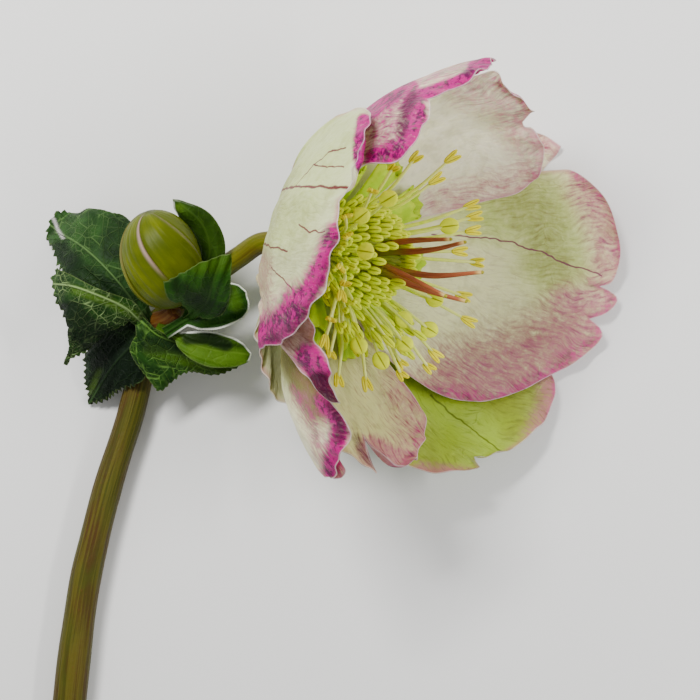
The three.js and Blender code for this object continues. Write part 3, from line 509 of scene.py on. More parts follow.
# ---- tepals ----
# For each tepal: its azimuth; how far it leans out from the flower's axis (degrees) at its foot and at its
# length; the radius to which it bends across itself at those two; how far up its foot is; how far it rolls
# about its own length (degrees); its reach, where that isn't REACH; the lobes of its outline, flat, as
# (across, along); waves as (across, along, size, height); and curls of the margin as (from and to as shares
# of the outline, width, degrees).
TEPALS = {
    "tepal_right": dict(
        azimuth=4, lean=(82, 28), length=46, bend=(16, 60), up=0,
        lobes=[
            [(5, 4), (9.5, 12), (12.8, 21), (14.6, 30), (15.8, 35.5), (15.9, 38.6), (13.2, 43.2),
             (9.5, 45.6), (5.2, 46.9), (2.2, 46.7), (0.3, 46), (-0.4, 44.4)],
            [(-1, 46.2), (-2.1, 47.2), (-4.1, 46), (-5.3, 43.6)],
            [(-6.5, 45.4), (-8.2, 45.6), (-11.9, 42.4), (-14.4, 38.9), (-17.9, 33.6), (-19.8, 28),
             (-19.5, 21), (-15, 12), (-7, 4)],
        ],
        waves=[(9, 34, 7, 0.8), (-12, 33, 6, -0.7), (1, 26, 6, -0.6)],
        curls=[(0.3, 0.46, 2, 40)]),
    "tepal_upper": dict(
        azimuth=58, lean=(80, 18), length=38, bend=(13, 45), up=0.95,
        lobes=[
            [(4, 4), (6.5, 11), (9, 19), (9.8, 27), (9.4, 32), (8, 34.9), (4.5, 35.5), (1, 36.6),
             (-0.6, 36.8), (-1.5, 35.6), (-2.9, 33.7)],
            [(-4, 33.5), (-4.6, 34.6), (-6.6, 35.2), (-9.6, 34.2), (-12.3, 32), (-13.4, 28.5), (-12.4, 23),
             (-10.5, 17), (-8, 11), (-4.5, 4)],
        ],
        waves=[(-1.5, 27, 4, -0.9), (4, 29, 4, 0.5)],
        curls=[(0.36, 0.5, 1.6, 70)]),
    "tepal_upper_outer": dict(
        azimuth=34, lean=(86, 44), length=40, bend=(16, 45), up=-1.6,
        lobes=[
            [(6, 4), (9, 14), (9, 24), (6.5, 32), (2.8, 38), (1.3, 40), (-0.7, 42)],
            [(-2, 40.9), (-3.3, 39.1), (-4, 38.2), (-6.5, 34), (-9, 27), (-9.5, 18), (-8, 10), (-5, 4)],
        ]),
    "tepal_lower": dict(
        azimuth=-46, lean=(86, 30), length=42, bend=(16, 50), up=-1.8,
        lobes=[
            [(5, 4), (8, 12), (11.5, 20), (15.5, 28), (18, 35), (18.6, 39.5), (16.6, 42.2), (14.3, 43.1),
             (11.7, 43.6), (8, 43.3), (4.3, 42.4), (0.9, 41.2), (-0.2, 39.6)],
            [(-1.5, 41.3), (-4.7, 37.9), (-8, 32.8), (-9.5, 26), (-8.5, 18), (-6.5, 11), (-3.5, 4)],
        ],
        waves=[(3, 33, 5, -0.7)],
        curls=[(0.5, 0.66, 2, 70)]),
    "tepal_under": dict(
        azimuth=-84, lean=(80, 22), length=38, bend=(12, 40), up=1.5,
        lobes=[
            [(4.5, 4), (9.5, 12), (12.6, 20), (12.6, 24.5), (10.8, 28), (8.5, 29.6), (6.4, 31.8), (3.6, 33),
             (1, 32.6), (0, 29.5), (-0.4, 26.3)],
            [(-1.4, 28.6), (-2.4, 31.6), (-3, 33), (-5.6, 31.5), (-8, 26), (-8.2, 19), (-5.6, 12),
             (-2.8, 4)],
        ],
        curls=[(0.36, 0.52, 2, 60)]),
    "tepal_near": dict(
        azimuth=184, lean=(69, 8), length=40.5, bend=(34, 41), up=-1.5, roll=-7,
        lobes=[
            [(-6, 4), (-12.6, 9), (-18.3, 15), (-21.3, 22), (-22, 28), (-20.4, 33), (-16.2, 38.2),
             (-12.6, 40.9), (-10, 41), (-8.4, 39.6), (-7.4, 38.2)],
            [(-5.5, 38.8), (-2, 40), (3.1, 39.6), (7, 37.5), (10.5, 33.6), (12.3, 29.1), (13.4, 23.8),
             (14.3, 19.4)],
            [(9.6, 14), (4.6, 8.4), (2, 4)],
        ],
        waves=[(15, 19, 4, -1.2), (-4, 24, 7, -0.5), (8, 18, 5.5, 1), (5, 10, 4.5, -0.6)],
        curls=[(0.36, 0.5, 2, -110)]),
    "tepal_top": dict(
        azimuth=117, lean=(71, 8), length=39.5, bend=(14, 28), up=0.6, roll=11,
        lobes=[
            [(-3, 4), (-6.5, 10), (-11, 17), (-14, 24), (-15, 31), (-13, 36.5), (-11, 39.6)],
            [(-8.5, 41), (-5.8, 43), (-2.5, 44.3), (-0.1, 44), (1, 42.6), (2, 41.6)],
            [(3.2, 41), (4.3, 39.6)],
            [(6, 41.4), (8.5, 42.2), (11.6, 42.5), (13.4, 41.9), (14.8, 39.8), (15.4, 35), (15.5, 28),
             (14.5, 20), (12, 12), (7, 4)],
        ]),
    "tepal_side": dict(
        azimuth=-121, lean=(81, 11), length=39, bend=(12.5, 20), up=0.65, roll=-36,
        lobes=[
            [(-2.4, 4), (-3.6, 11), (-5.4, 18), (-6.4, 24), (-6.2, 28), (-5, 31), (-4.3, 35.5),
             (-3.1, 38.3), (-1.8, 39.8), (-0.3, 39.3), (2, 38.1), (3.8, 36.9), (5.5, 35.9), (7.5, 35.2),
             (10, 32), (12, 29.6), (14, 28), (16.5, 26.8), (18.5, 25), (19, 21.5), (17.5, 16), (11.5, 11),
             (4.2, 4.4)],
        ],
        waves=[(6, 8, 4, 0.35)]),
    "tepal_flap": dict(
        azimuth=-145, lean=(75, 8), length=36, bend=(14, 26), up=-0.45, roll=-20, reach=0.6,
        lobes=[
            [(-0.6, 4), (-1, 10), (-3.2, 17), (-5.2, 24), (-6, 29), (-4.3, 32.1), (-2.8, 32.6), (-1.5, 33),
             (-0.8, 34.6), (0.4, 36.4), (1.9, 37.2), (3, 36.2), (3.6, 36.3), (4.5, 37.7), (5.9, 38.6)],
            [(6.1, 36.2), (4.1, 32.8), (3.6, 30), (2.5, 25.5), (1.5, 18), (0.7, 10), (0.6, 4)],
        ],
        waves=[(0.5, 6, 4, -0.25)]),
    "tepal_side_outer": dict(
        azimuth=-110, lean=(86, 55), length=28, bend=(16, 26), up=-1.4,
        lobes=[
            [(-3, 3.5), (-3.6, 8), (-3.6, 12), (-2.5, 14.6), (-0.9, 16.6), (0.8, 18.8), (2.5, 19.8),
             (4.6, 20.4), (6.4, 19.4), (7.4, 16), (6.6, 10), (3, 3.5)],
        ]),
}
CURL_ENDS = 0.05  # share of the outline over which a curl begins or ends
TEPAL_STEPS = 210
TEPAL_SHARES = np.concatenate([np.linspace(0, 0.95, 50), [0.965, 0.977, 0.987, 0.995, 1]])


def footed(margin, width, height):
    """The outline with the two ends of its foot edge."""
    side = np.sign(margin[0, 0] - margin[-1, 0])
    return np.vstack([(side * width / 2, height), margin, (-side * width / 2, height)])


def fan(t, margin, shares):
    """Rows of flat points from a blade's middle line out to its margin, as they are before and after the
    margin curls, how far the curls lift each, and which columns share the places of row 0."""
    steps = len(margin) - 1
    j = np.arange(steps + 1)
    d = margin[np.minimum(j + 1, steps)] - margin[np.maximum(j - 1, 0)]
    area = (margin[:, 0] * (np.roll(margin[:, 1], -1) - margin[:, 1])).sum()
    out = unit(np.stack([d[:, 1], -d[:, 0]], -1)) * np.sign(area)
    joined = np.minimum(np.minimum(j, steps - j), int(steps / 2 * t.get("reach", REACH)))
    middle = (margin[joined] + margin[steps - joined]) / 2
    flat = middle + (margin - middle) * shares[:, None, None]
    curled, lift = flat, np.zeros(flat.shape[:2])
    inward = ((margin - flat) * out).sum(-1)
    for start, end, width, angle in t.get("curls", ()):
        here = ease((j / steps - start) / CURL_ENDS) * ease((end - j / steps) / CURL_ENDS)
        bend = math.radians(angle) * here
        bend = np.where(np.abs(bend) < 1e-3, 1e-3, bend)
        s = np.maximum(width - inward, 0)
        curled = curled + out * (width / bend * np.sin(bend * s / width) - s)[..., None]
        lift = lift + width / bend * (1 - np.cos(bend * s / width))
    return flat, curled, lift, joined


def tepal_place(t, x, y, n):
    """Place of a flat tepal point, n above the middle of the blade, in the flower."""
    foot, end = np.radians(t["lean"])
    k = (end - foot) / t["length"]
    past = np.maximum(0, y - t["length"])
    a = foot + k * np.minimum(y, t["length"])
    r = FOOT_RADIUS + (np.cos(foot) - np.cos(a)) / k + past * np.sin(end)
    h = t["up"] + (np.sin(a) - np.sin(foot)) / k + past * np.cos(end)
    bend = lerp(*t["bend"], np.clip(y / t["length"], 0, 1.3))
    for wave_x, wave_y, size, height in t.get("waves", ()):
        n = n + height * np.exp(-((x - wave_x) ** 2 + (y - wave_y) ** 2) / size**2)
    lat, rise = bend * np.sin(x / bend), bend * (1 - np.cos(x / bend)) + n
    roll = math.radians(t.get("roll", 0)) * np.clip(2 * y / t["length"], 0, 1)
    lat, rise = lat * np.cos(roll) - rise * np.sin(roll), lat * np.sin(roll) + rise * np.cos(roll)
    r, h = r - np.cos(a) * rise, h + np.sin(a) * rise
    p = math.radians(t["azimuth"])
    return in_flower(r * math.cos(p) - lat * math.sin(p), r * math.sin(p) + lat * math.cos(p), h)


PIGMENTS = {  # the first three are kept in a blade's attribute paint, the others in tint
    # The tepals' olive pigment is partly painted shade; of the bracts' four, the second and third are painted
    # highlight and painted shade.
    "tepal": ("red", "green", "dark", "olive_and_shade", "rose", "brown"),
    "bract": ("pale", "painted_highlight", "painted_shade", "line"),
}
# Where pigment, painted shade and painted highlight lie on a blade: the pigment, its strength, half width and
# softness, and then the places of a path. Widths and places are in pixels of the picture.
MARKS = {
    "tepal_right": [
        ("green", 0.5, 16, 44, (490, 205), (545, 214), (556, 262)),
        ("olive_and_shade", 0.4, 8, 34, (520, 200), (545, 222), (552, 262)),
        ("olive_and_shade", 0.25, 10, 40, (490, 330), (540, 320)),
        ("rose", 0.7, 6, 30, (588, 185), (610, 225), (612, 262)),
        ("rose", 0.55, 12, 62, (458, 398), (510, 390), (560, 362), (596, 328)),
        ("brown", 0.75, 12, 52, (455, 380), (520, 366), (570, 342)),
        ("rose", 0.7, 8, 16, (566, 300), (606, 305)),
        ("red", 0.5, 1, 12, (425, 392), (500, 400), (556, 370), (602, 332)),
        ("red", 0.5, 1, 9, (575, 172), (600, 190), (618, 225), (622, 262)),
        ("red", 0.5, 1, 7, (590, 282), (604, 285), (617, 304), (592, 316)),
    ],
    "tepal_upper": [
        ("red", 0.34, 8, 30, (470, 84), (505, 95), (530, 140)),
        ("rose", 0.16, 8, 30, (470, 84), (505, 95), (530, 140)),
        ("rose", 0.5, 5, 24, (440, 205), (480, 193), (532, 178)),
        ("red", 0.6, 2, 12, (500, 82), (520, 98), (531, 108), (518, 118)),
        ("red", 0.5, 3, 12, (536, 140), (541, 160), (536, 178)),
    ],
    "tepal_upper_outer": [("rose", 0.7, 6, 12, (540, 135), (558, 150))],
    "tepal_lower": [
        ("green", 0.55, 20, 60, (430, 410), (490, 440)),
        ("olive_and_shade", 0.5, 8, 26, (505, 400), (535, 412), (520, 432)),
        ("olive_and_shade", 0.3, 4, 30, (420, 440), (450, 462)),
        ("rose", 0.7, 4, 22, (556, 378), (556, 405), (540, 435)),
        ("brown", 0.6, 6, 16, (550, 380), (552, 402)),
        ("rose", 0.6, 2, 9, (528, 446), (490, 466), (472, 474), (420, 468)),
        ("red", 0.55, 1, 8, (557, 378), (557, 405), (543, 432)),
    ],
    "tepal_under": [
        ("rose", 0.55, 8, 34, (408, 385), (420, 420), (417, 450)),
        ("rose", 0.85, 9, 12, (372, 450), (392, 460), (405, 462)),
        ("dark", 0.6, 1.5, 5, (356, 437), (362, 452), (376, 466), (395, 472)),
        ("red", 0.5, 1, 6, (419, 425), (416, 448), (405, 468), (385, 470)),
    ],
    "tepal_near": [
        ("red", 1.0, 9, 24, (262, 338), (284, 326), (300, 305)),
        ("red", 1.0, 6, 11, (300, 305), (312, 285), (323, 264), (335, 234)),
        ("dark", 0.55, 2, 8, (270, 341), (300, 322), (316, 297)),
        ("dark", 0.4, 1, 6, (316, 297), (326, 272), (335, 240)),
        ("red", 1.0, 6, 3, (364, 121), (361, 138), (360, 156), (363, 168)),
        ("olive_and_shade", 0.24, 8, 20, (292, 210), (306, 245), (286, 268)),
        # painted shade along the tepal's shaded left edge
        ("olive_and_shade", 0.4, 2, 13, (290, 165), (276, 205), (264, 245), (266, 285)),
        ("rose", 0.45, 2, 8, (371, 175), (355, 190), (342, 210), (338, 228)),
        ("rose", 0.4, 2, 14, (258, 330), (264, 300), (262, 260)),
        ("green", 0.3, 16, 34, (280, 220), (300, 180), (330, 140)),
    ],
    "tepal_top": [
        ("red", 0.4, 10, 12, (380, 110), (384, 130), (384, 150)),
        ("rose", 0.7, 14, 16, (380, 135), (392, 112)),
        ("red", 0.95, 5, 5, (368, 113), (394, 96), (412, 86)),
        ("red", 1.0, 8, 8, (413, 102), (417, 122), (408, 142)),
        ("red", 1.0, 6, 12, (374, 158), (396, 152), (412, 140)),
        ("dark", 0.75, 2, 7, (413, 97), (404, 112), (401, 132)),
        ("red", 1.0, 5, 6, (415, 97), (435, 91), (458, 82), (478, 70), (491, 61)),
        ("red", 0.6, 2, 6, (416, 83), (440, 74), (466, 66)),
        ("red", 1.0, 5, 7, (474, 67), (488, 61)),
    ],
    "tepal_side": [
        ("green", 0.4, 6, 22, (284, 352), (300, 385), (318, 412)),
        # painted shade in the hollow of the fold
        ("olive_and_shade", 1.0, 8, 14, (290, 356), (302, 380), (318, 406)),
        ("brown", 0.4, 3, 8, (300, 372), (318, 400)),
        ("rose", 0.4, 4, 10, (300, 400), (315, 432), (322, 455)),
        ("red", 1.0, 5, 13, (326, 402), (341, 425), (337, 445), (331, 470)),
        ("red", 0.45, 1, 6, (292, 388), (310, 415), (318, 445)),
        ("dark", 0.7, 2, 6, (330, 405), (342, 422), (338, 440)),
        ("rose", 0.8, 8, 6, (340, 460), (340, 470)),
    ],
    "tepal_flap": [
        ("brown", 0.4, 12, 12, (296, 330), (303, 350)),
        ("red", 1.0, 9, 9, (308, 356), (318, 370), (328, 376)),
        ("dark", 1.0, 9, 7, (318, 384), (330, 393), (338, 402)),
        ("red", 0.7, 1, 4, (316, 325), (324, 345), (331, 362)),
    ],
    # painted shade: this tepal lies in shadow behind tepal_side
    "tepal_side_outer": [("olive_and_shade", 0.45, 6, 18, (265, 350), (275, 390))],
    # Bract marks of the second and third kind are painted highlight on lit strips and edges and painted shade
    # on folded-under and hollow parts.
    "bract_leaf_back": [
        ("line", 0.85, 0.6, 1.6, (49, 211), (54, 220), (58, 230), (63, 238)),
        ("painted_shade", 0.8, 5, 10, (60, 250), (90, 280), (130, 300)),
        ("painted_shade", 0.7, 6, 12, (118, 225), (112, 250)),
    ],
    "bract_leaf_front": [
        ("painted_shade", 0.95, 12, 10, (70, 316), (95, 340), (118, 352)),
        ("painted_highlight", 0.4, 2, 5, (75, 290), (110, 302), (140, 318)),
    ],
    "bract_leaf_low": [
        ("painted_shade", 0.9, 14, 12, (100, 350), (130, 362), (118, 378)),
        ("painted_highlight", 0.4, 1, 4, (90, 392), (100, 370)),
    ],
    "bract_leaf_right": [
        ("painted_highlight", 0.35, 2, 8, (150, 350), (190, 362), (225, 368)),
        ("painted_shade", 0.8, 5, 8, (150, 345), (175, 345), (200, 352)),
    ],
    "bract_spoon": [
        ("painted_shade", 0.95, 4, 5, (188, 338), (208, 338), (226, 345)),
        ("painted_highlight", 0.55, 4, 8, (195, 350), (220, 358), (240, 358)),
        ("pale", 0.9, 4, 4, (186, 334), (212, 331), (240, 344), (250, 355)),
    ],
    "bract_right": [
        ("pale", 1.0, 5, 5, (234, 282), (246, 296), (244, 314), (232, 325), (210, 330), (188, 326)),
        ("painted_highlight", 0.4, 3, 8, (230, 290), (236, 305)),
        ("painted_shade", 0.8, 4, 7, (195, 316), (220, 305), (226, 290)),
    ],
    "bract_top": [
        ("pale", 0.7, 4, 4, (176, 207), (190, 212), (206, 228)),
        ("painted_highlight", 0.5, 2, 4, (168, 209), (180, 208)),
    ],
    "bract_front": [
        ("painted_shade", 0.75, 4, 8, (178, 285), (200, 305), (222, 312)),
        ("painted_highlight", 0.35, 6, 12, (200, 262), (226, 258)),
    ],
}
# Single veins on the tepals, as (path, half width): paths in pixels of the picture, half widths in mm.
LINES = {
    "tepal_near": [
        ([(283, 191), (300, 187), (322, 188), (346, 187)], 0.32),
        ([(297, 186), (305, 175), (315, 165), (345, 168)], 0.18),
        ([(315, 165), (330, 153), (347, 149)], 0.18),
        ([(270, 234), (280, 243), (290, 252)], 0.22),
        ([(300, 225), (312, 232), (326, 231)], 0.16),
        ([(272, 268), (285, 280), (294, 290)], 0.16),
    ],
    "tepal_right": [
        ([(430, 236), (480, 237), (515, 243), (540, 252), (562, 262), (604, 274)], 0.18),
    ],
    "tepal_lower": [([(430, 396), (462, 422), (500, 450)], 0.2)],
}


def painted(name, places):
    """How much of a blade's pigments, painted shade and painted highlight lies at places: the first three of
    them, and the other three.
    """
    pixels = picture_place(places)
    kinds = PIGMENTS[name.split("_")[0]]
    amounts = np.zeros((6, *places.shape[:-1]))
    for pigment, strength, width, soft, *path in MARKS.get(name, ()):
        stroke = strength * (1 - ease((path_distance(pixels, np.array(path, float)) - width) / soft))
        row = kinds.index(pigment)
        amounts[row] = np.maximum(amounts[row], stroke)
    return np.moveaxis(amounts[:3], 0, -1), np.moveaxis(amounts[3:], 0, -1)


def flat_path(t, margin, path):
    """Flat places of a tepal that show at the pixels of a path."""
    flat, curled, n, _ = fan(t, margin, np.linspace(0, 1, 60))
    pixels = picture_place(tepal_place(t, curled[..., 0], curled[..., 1], n)).reshape(-1, 2)
    found = []
    for at in np.array(path, float):
        far = ((pixels - at) ** 2).sum(-1)
        near = np.argsort(far)[:4]
        weight = 1 / (far[near] + 0.5)
        found.append(weight @ flat.reshape(-1, 2)[near] / weight.sum())
    return found


PLEATS = 31  # to each radian of the fan
PLEAT_HEIGHT = 0.16
WAVY_MARGIN = 3.5  # how far in from the margin it is wavy


def ruffle(x, y, edge, seed):
    """Soft pleats along the blade and a gentle waviness of its margin."""
    turn, far = np.arctan2(x, y + FAN_DEPTH), np.hypot(x, y + FAN_DEPTH)
    pleats = PLEAT_HEIGHT * np.sin(turn * PLEATS + seed) * ease((far - 12) / 20)
    wave = 0.3 * np.sin(turn * 47 + 2.1 * seed) + 0.2 * np.sin(turn * 83 + seed + far * 0.15)
    return pleats + wave * ease(1 - edge / WAVY_MARGIN)


def blade(name, t, margin, shares, place, thick, look, slot, seed, flip, wavy=1.0):
    """A tepal or a bract, as a thin closed sheet on either side of place(across, along, height)."""
    flat, curled, n, joined = fan(t, margin, shares)
    edge = path_distance(flat, margin)
    n = n + wavy * ruffle(flat[..., 0], flat[..., 1], edge, seed)
    half = thick / 2 * lerp(MARGIN_THIN, 1, ease(edge / MARGIN_TAPER))
    faces = [place(curled[..., 0], curled[..., 1], n + side * half) for side in (1, -1)]
    lift = np.maximum(0, -np.minimum(faces[0][..., 2], faces[1][..., 2]))
    for face in faces:
        face[..., 2] += lift
    flats = [np.dstack([flat, np.full(edge.shape, side)]) for side in (1.0, -1.0)]
    paint, tint = zip(*(painted(name, face) for face in faces))
    piece = Piece()
    piece.add_sheet(*faces, flip, joined, flat=flats, edge=(edge, edge), paint=paint, tint=tint)
    piece.make(name + "_blade", look, slot, name)


TEPAL_LOOKS = {  # slot, inner face, outer face, vein, share of hairs
    "tepal_right": ("tepal_pale", (228, 226, 172), CREAM, (120, 60, 84), 0.25),
    "tepal_upper": ("tepal_pale", (250, 242, 216), CREAM, (182, 96, 130), 0.14),
    "tepal_upper_outer": ("tepal_rose", CREAM, CREAM, MAROON, 0.25),
    "tepal_lower": ("tepal_green", LIME, LIME, (96, 112, 26), 0.45),
    "tepal_under": ("tepal_rose", (208, 202, 138), (206, 194, 152), (132, 66, 72), 0.5),
    "tepal_near": ("tepal_pale", CREAM, (208, 212, 164), (98, 10, 36), 0.1),
    "tepal_top": ("tepal_rose", CREAM, CREAM, MAGENTA, 0.5),
    "tepal_side": ("tepal_pale", CREAM, CREAM, (160, 100, 120), 0.2),
    "tepal_flap": ("tepal_rose", DUSKY, DUSKY, MAROON, 0.5),
    "tepal_side_outer": ("tepal_green", GREY_GREEN, GREY_GREEN, (110, 110, 90), 0.3),
}


def make_tepals():
    for seed, (name, t) in enumerate(TEPALS.items()):
        margin = footed(outline(t["lobes"], TEPAL_STEPS), *CLAW)
        lines = [(flat_path(t, margin, path), width) for path, width in LINES.get(name, ())]
        slot, *colours = TEPAL_LOOKS[name]
        look = tepal_look(name.replace("_", " "), *colours, lines)
        blade(name, t, margin, TEPAL_SHARES, lambda x, y, n, t=t: tepal_place(t, x, y, n), TEPAL_THICK,
              look, slot, seed, True)


# ---- the middle of the flower ----
CUSHION = [(0.01, -3.2), (1.9, -2.9), (3, -1.6), (3.2, 0), (3.2, 2), (3.8, 2.2), (3.8, 2.6), (0.01, 2.6)]
NECTARIES = 10
NECTARY_SIDES = 40
NECTARY_FOOT = (3.4, 2.4)  # radius and height
NECTARY_SPREAD = 56
NECTARY_LONG = 11.4
# Rings of a nectary: share of its length, half its width and thickness, how ruffled, how far inside
NECTARY_RINGS = np.array([
    (0, 0.5, 0.42, 0, 0), (0.15, 0.7, 0.48, 0, 0), (0.35, 1.1, 0.55, 0, 0), (0.55, 1.6, 0.65, 0, 0),
    (0.75, 2.1, 0.75, 0.05, 0), (0.9, 2.4, 0.8, 0.4, 0), (1, 2.6, 0.85, 1, 0.1), (0.99, 2.4, 0.66, 1, 0.7),
    (0.9, 2.1, 0.52, 0.6, 0.9), (0.72, 1.6, 0.4, 0.1, 1),
])
CENTRE_UP = 3  # height from which the spread of styles and stamens is measured
# azimuth, spread and length of each style, and how far it sags across the view
STYLES = [(110, 10, 24, 0.2), (84, 9, 25, -0.5), (5, 9, 26, -1.1), (-45, 13, 24.5, -0.5), (-98, 9, 24, 0.3)]
OVARY = [(0.01, 2.9), (2, 2.9), (2.1, 6), (1.9, 9), (0.01, 11)]
STAMEN_RING = [(2.5, 3.5), (3.6, 3.5), (3.6, 4.2), (2.5, 4.2), (2.5, 3.5)]
STAMEN_UP = 4  # height of a filament's foot, inside that ring
OPEN_STAMENS = [
    (114, 42, 20), (147, 40, 23.5), (100, 42, 21.5), (77, 42, 23.5), (69, 42, 19.5), (41, 42, 22),
    (34, 42, 22), (26, 42, 21.5), (14, 42, 19.5), (8, 43, 22), (348, 42, 21), (336, 42, 23), (307, 42, 22),
    (297, 42, 23), (281, 42, 21), (275, 42, 23), (258, 49, 23.5), (248, 55, 23), (231, 51, 23.5),
    (224, 51, 23.5), (174, 42, 24), (190, 42, 22.5), (197, 41, 24), (204, 42, 23), (165, 44, 23.5),
    (214, 47, 23.5),
]
DISC_STAMENS = [
    (37, 34, 18.5), (335, 34, 17.5), (309, 34, 19.5), (300, 34, 16), (278, 34, 20), (269, 44, 20),
    (179, 32, 20), (245, 43, 20), (134, 33, 20), (157, 38, 20),
]
BRUSH = 84  # short stamens in the fan on the near side
DOME = 160  # unopened ones round the styles
DOME_FROM, DOME_WIDE, DOME_TOP = 2.3, 5.6, 18
FILAMENT = 0.34  # half of a filament's thickness at its foot
# half of an anther's length, width and thickness, and the depth of its groove
OPEN_HALF = (1.3, 0.4, 0.42, 0.6)
DISC = (1.4, 1.15, 0.5, 0.4)
SHORT = (1.25, 0.48, 0.42, 0.45)
UNOPENED = (1.35, 0.58, 0.6, 0.5)
GOLDEN_ANGLE = 137.5


def turned(piece, profile, sides=32):
    """A solid turned about the flower's axis from (radius, height) pairs."""
    radius, height = np.array(profile, float).T[..., None]
    verts = around(np.linspace(0, 360, sides, endpoint=False), radius, height)
    piece.add(verts, grid_faces(len(profile), sides, wrap=True), flat=np.zeros(verts.shape))


def tip_of(azimuth, spread, length):
    s = math.radians(spread)
    return around(azimuth, length * math.sin(s), CENTRE_UP + length * math.cos(s))


def nectary(piece, azimuth, spread, length):
    """A flat funnel that opens into a broad ruffled mouth."""
    s = math.radians(spread)
    radius, height = NECTARY_FOOT
    share, wide, thick, ruffled, inside = NECTARY_RINGS.T[..., None]
    mid = around(azimuth, radius + share * length * math.sin(s), height + share * length * math.cos(s))
    mid = mid + AXIS * (0.9 * np.sin(share * math.pi))[..., None]
    d = unit(mid[6, 0] - mid[0, 0])
    u = unit(np.cross(AXIS, d))
    a = circle(NECTARY_SIDES)
    lip = (0.9 * np.sin(a) + 0.28 * np.sin(7 * a + azimuth) + 0.2 * np.cos(a) ** 2) * ruffled
    frill = 0.22 * np.sin(9 * a + azimuth) * ruffled
    verts = (mid + u * (wide * np.cos(a))[..., None]
             + np.cross(d, u) * (thick * np.sin(a) + frill)[..., None] - d * lip[..., None])
    flat = np.stack(np.broadcast_arrays(0.0, 0.0 * a, inside), -1)
    piece.add(verts, tube_faces(len(NECTARY_RINGS), NECTARY_SIDES), flat=flat)


def make_receptacle():
    piece = Piece()
    turned(piece, CUSHION)
    draw = np.random.default_rng(7)
    for i in range(NECTARIES):
        azimuth = 360 * i / NECTARIES + 2
        spread = NECTARY_SPREAD + 8 * math.cos(math.radians(azimuth + 30)) + 2 * draw.random()
        reach = 1.8 * math.cos(math.radians(azimuth - 20))
        nectary(piece, azimuth, spread, NECTARY_LONG + reach + 0.8 * draw.random())
    look = pulp_look("nectary", (176, 216, 6), (198, 226, 36), (128, 166, 0), glow=0.3)
    piece.make("receptacle_and_nectaries", look, "nectary", "receptacle")


def anther(piece, at, axes, size, *more):
    long, wide, thick, groove = size
    d, side, flat = axes
    ball(piece, at, d * long, side * wide, flat * thick, groove, *more)


def filament(piece, foot, tip, bow, lean, face, radius=FILAMENT):
    """A bowed thread from foot to tip. Gives its anther's axes: long, across, and out of its broad face."""
    middle = (foot + tip) / 2 + AXIS * bow
    tube(piece, [foot, middle, tip], lambda t: lerp(radius, radius * 0.62, t), 6, 12, AXIS + (0.1, 0.2, 0.0))
    d = unit(tip - foot)
    side = unit(np.cross(d, face))
    d = unit(d * math.cos(lean) + np.cross(side, d) * math.sin(lean))
    return d, side, np.cross(side, d)


def make_stamens():
    draw = np.random.default_rng(5)
    filaments, opened, discs, young = (Piece() for _ in range(4))
    turned(filaments, STAMEN_RING, 24)
    for azimuth, spread, length in OPEN_STAMENS:
        tip, foot = tip_of(azimuth, spread, length), around(azimuth, 3.1, STAMEN_UP)
        bow, lean = 0.12 * np.linalg.norm(tip - foot), draw.uniform(-0.5, 0.5)
        d, side, flat = filament(filaments, foot, tip, bow, lean, UP + 0.5 * AXIS)
        for turn in (-1, 1):  # the split halves
            along = unit(d + side * 0.16 * turn)
            anther(opened, tip + side * 0.3 * turn, (along, side, flat), OPEN_HALF, 0.1, 12)
    for azimuth, spread, length in DISC_STAMENS:
        tip, foot = tip_of(azimuth, spread, length), around(azimuth, 3.1, STAMEN_UP)
        steep = max(0.0, unit(tip - foot)[2] - 0.5)
        bow, lean = 0.12 * np.linalg.norm(tip - foot), draw.uniform(-0.2, 0.2) - 1.3 * steep
        axes = filament(filaments, foot, tip, bow, lean, UP + 0.3 * AXIS)
        anther(discs, tip, axes, DISC, -0.05, 14, 20)
    for i in range(BRUSH):
        azimuth = 165 + 150 * (i + draw.random()) / BRUSH
        tip = tip_of(azimuth, draw.uniform(34, 50), draw.uniform(12.5, 20))
        foot = around(azimuth, draw.uniform(2.8, 3.5), STAMEN_UP)
        bow, lean = 0.1 * np.linalg.norm(tip - foot), draw.uniform(-0.4, 0.4)
        anther(young, tip, filament(filaments, foot, tip, bow, lean, UP, 0.32), SHORT)
    for i in range(DOME):
        out = DOME_WIDE * math.sqrt(i / DOME)
        azimuth = GOLDEN_ANGLE * i
        height = DOME_TOP - 0.16 * out**2 - 0.7 * out - 1.1 * draw.random()
        tip, foot = around(azimuth, DOME_FROM + out, height), around(azimuth, 2.9, STAMEN_UP)
        d, side, flat = filament(filaments, foot, tip, 0.4, draw.uniform(-0.2, 0.2), UP + 0.01 * AXIS)
        anther(young, tip, (unit(d + 0.25 * AXIS), side, flat), UNOPENED)
    thread = pulp_look("filament", (226, 238, 84), (200, 226, 30), (234, 240, 140), glow=0.3)
    filaments.make("stamen_filaments", thread, "stamen", "stamens")
    gold = pulp_look("open anther", (238, 224, 0), (246, 236, 60), (132, 100, 0), 0.35, 0.7)
    opened.make("anthers_open", gold, "stamen")
    lime = pulp_look("disc anther", (236, 244, 40), (218, 232, 20), (96, 104, 0), 0.55)
    discs.make("anthers_closed", lime, "stamen")
    fresh = pulp_look("young anther", (236, 246, 44), (212, 232, 20), (108, 118, 0), 0.42)
    young.make("anthers_young", fresh, "stamen")


def style_radius(t):
    return lerp(lerp(0.85, 0.46, float(ease((t - 0.25) / 0.3))), 0.27, float(ease((t - 0.6) / 0.4)))


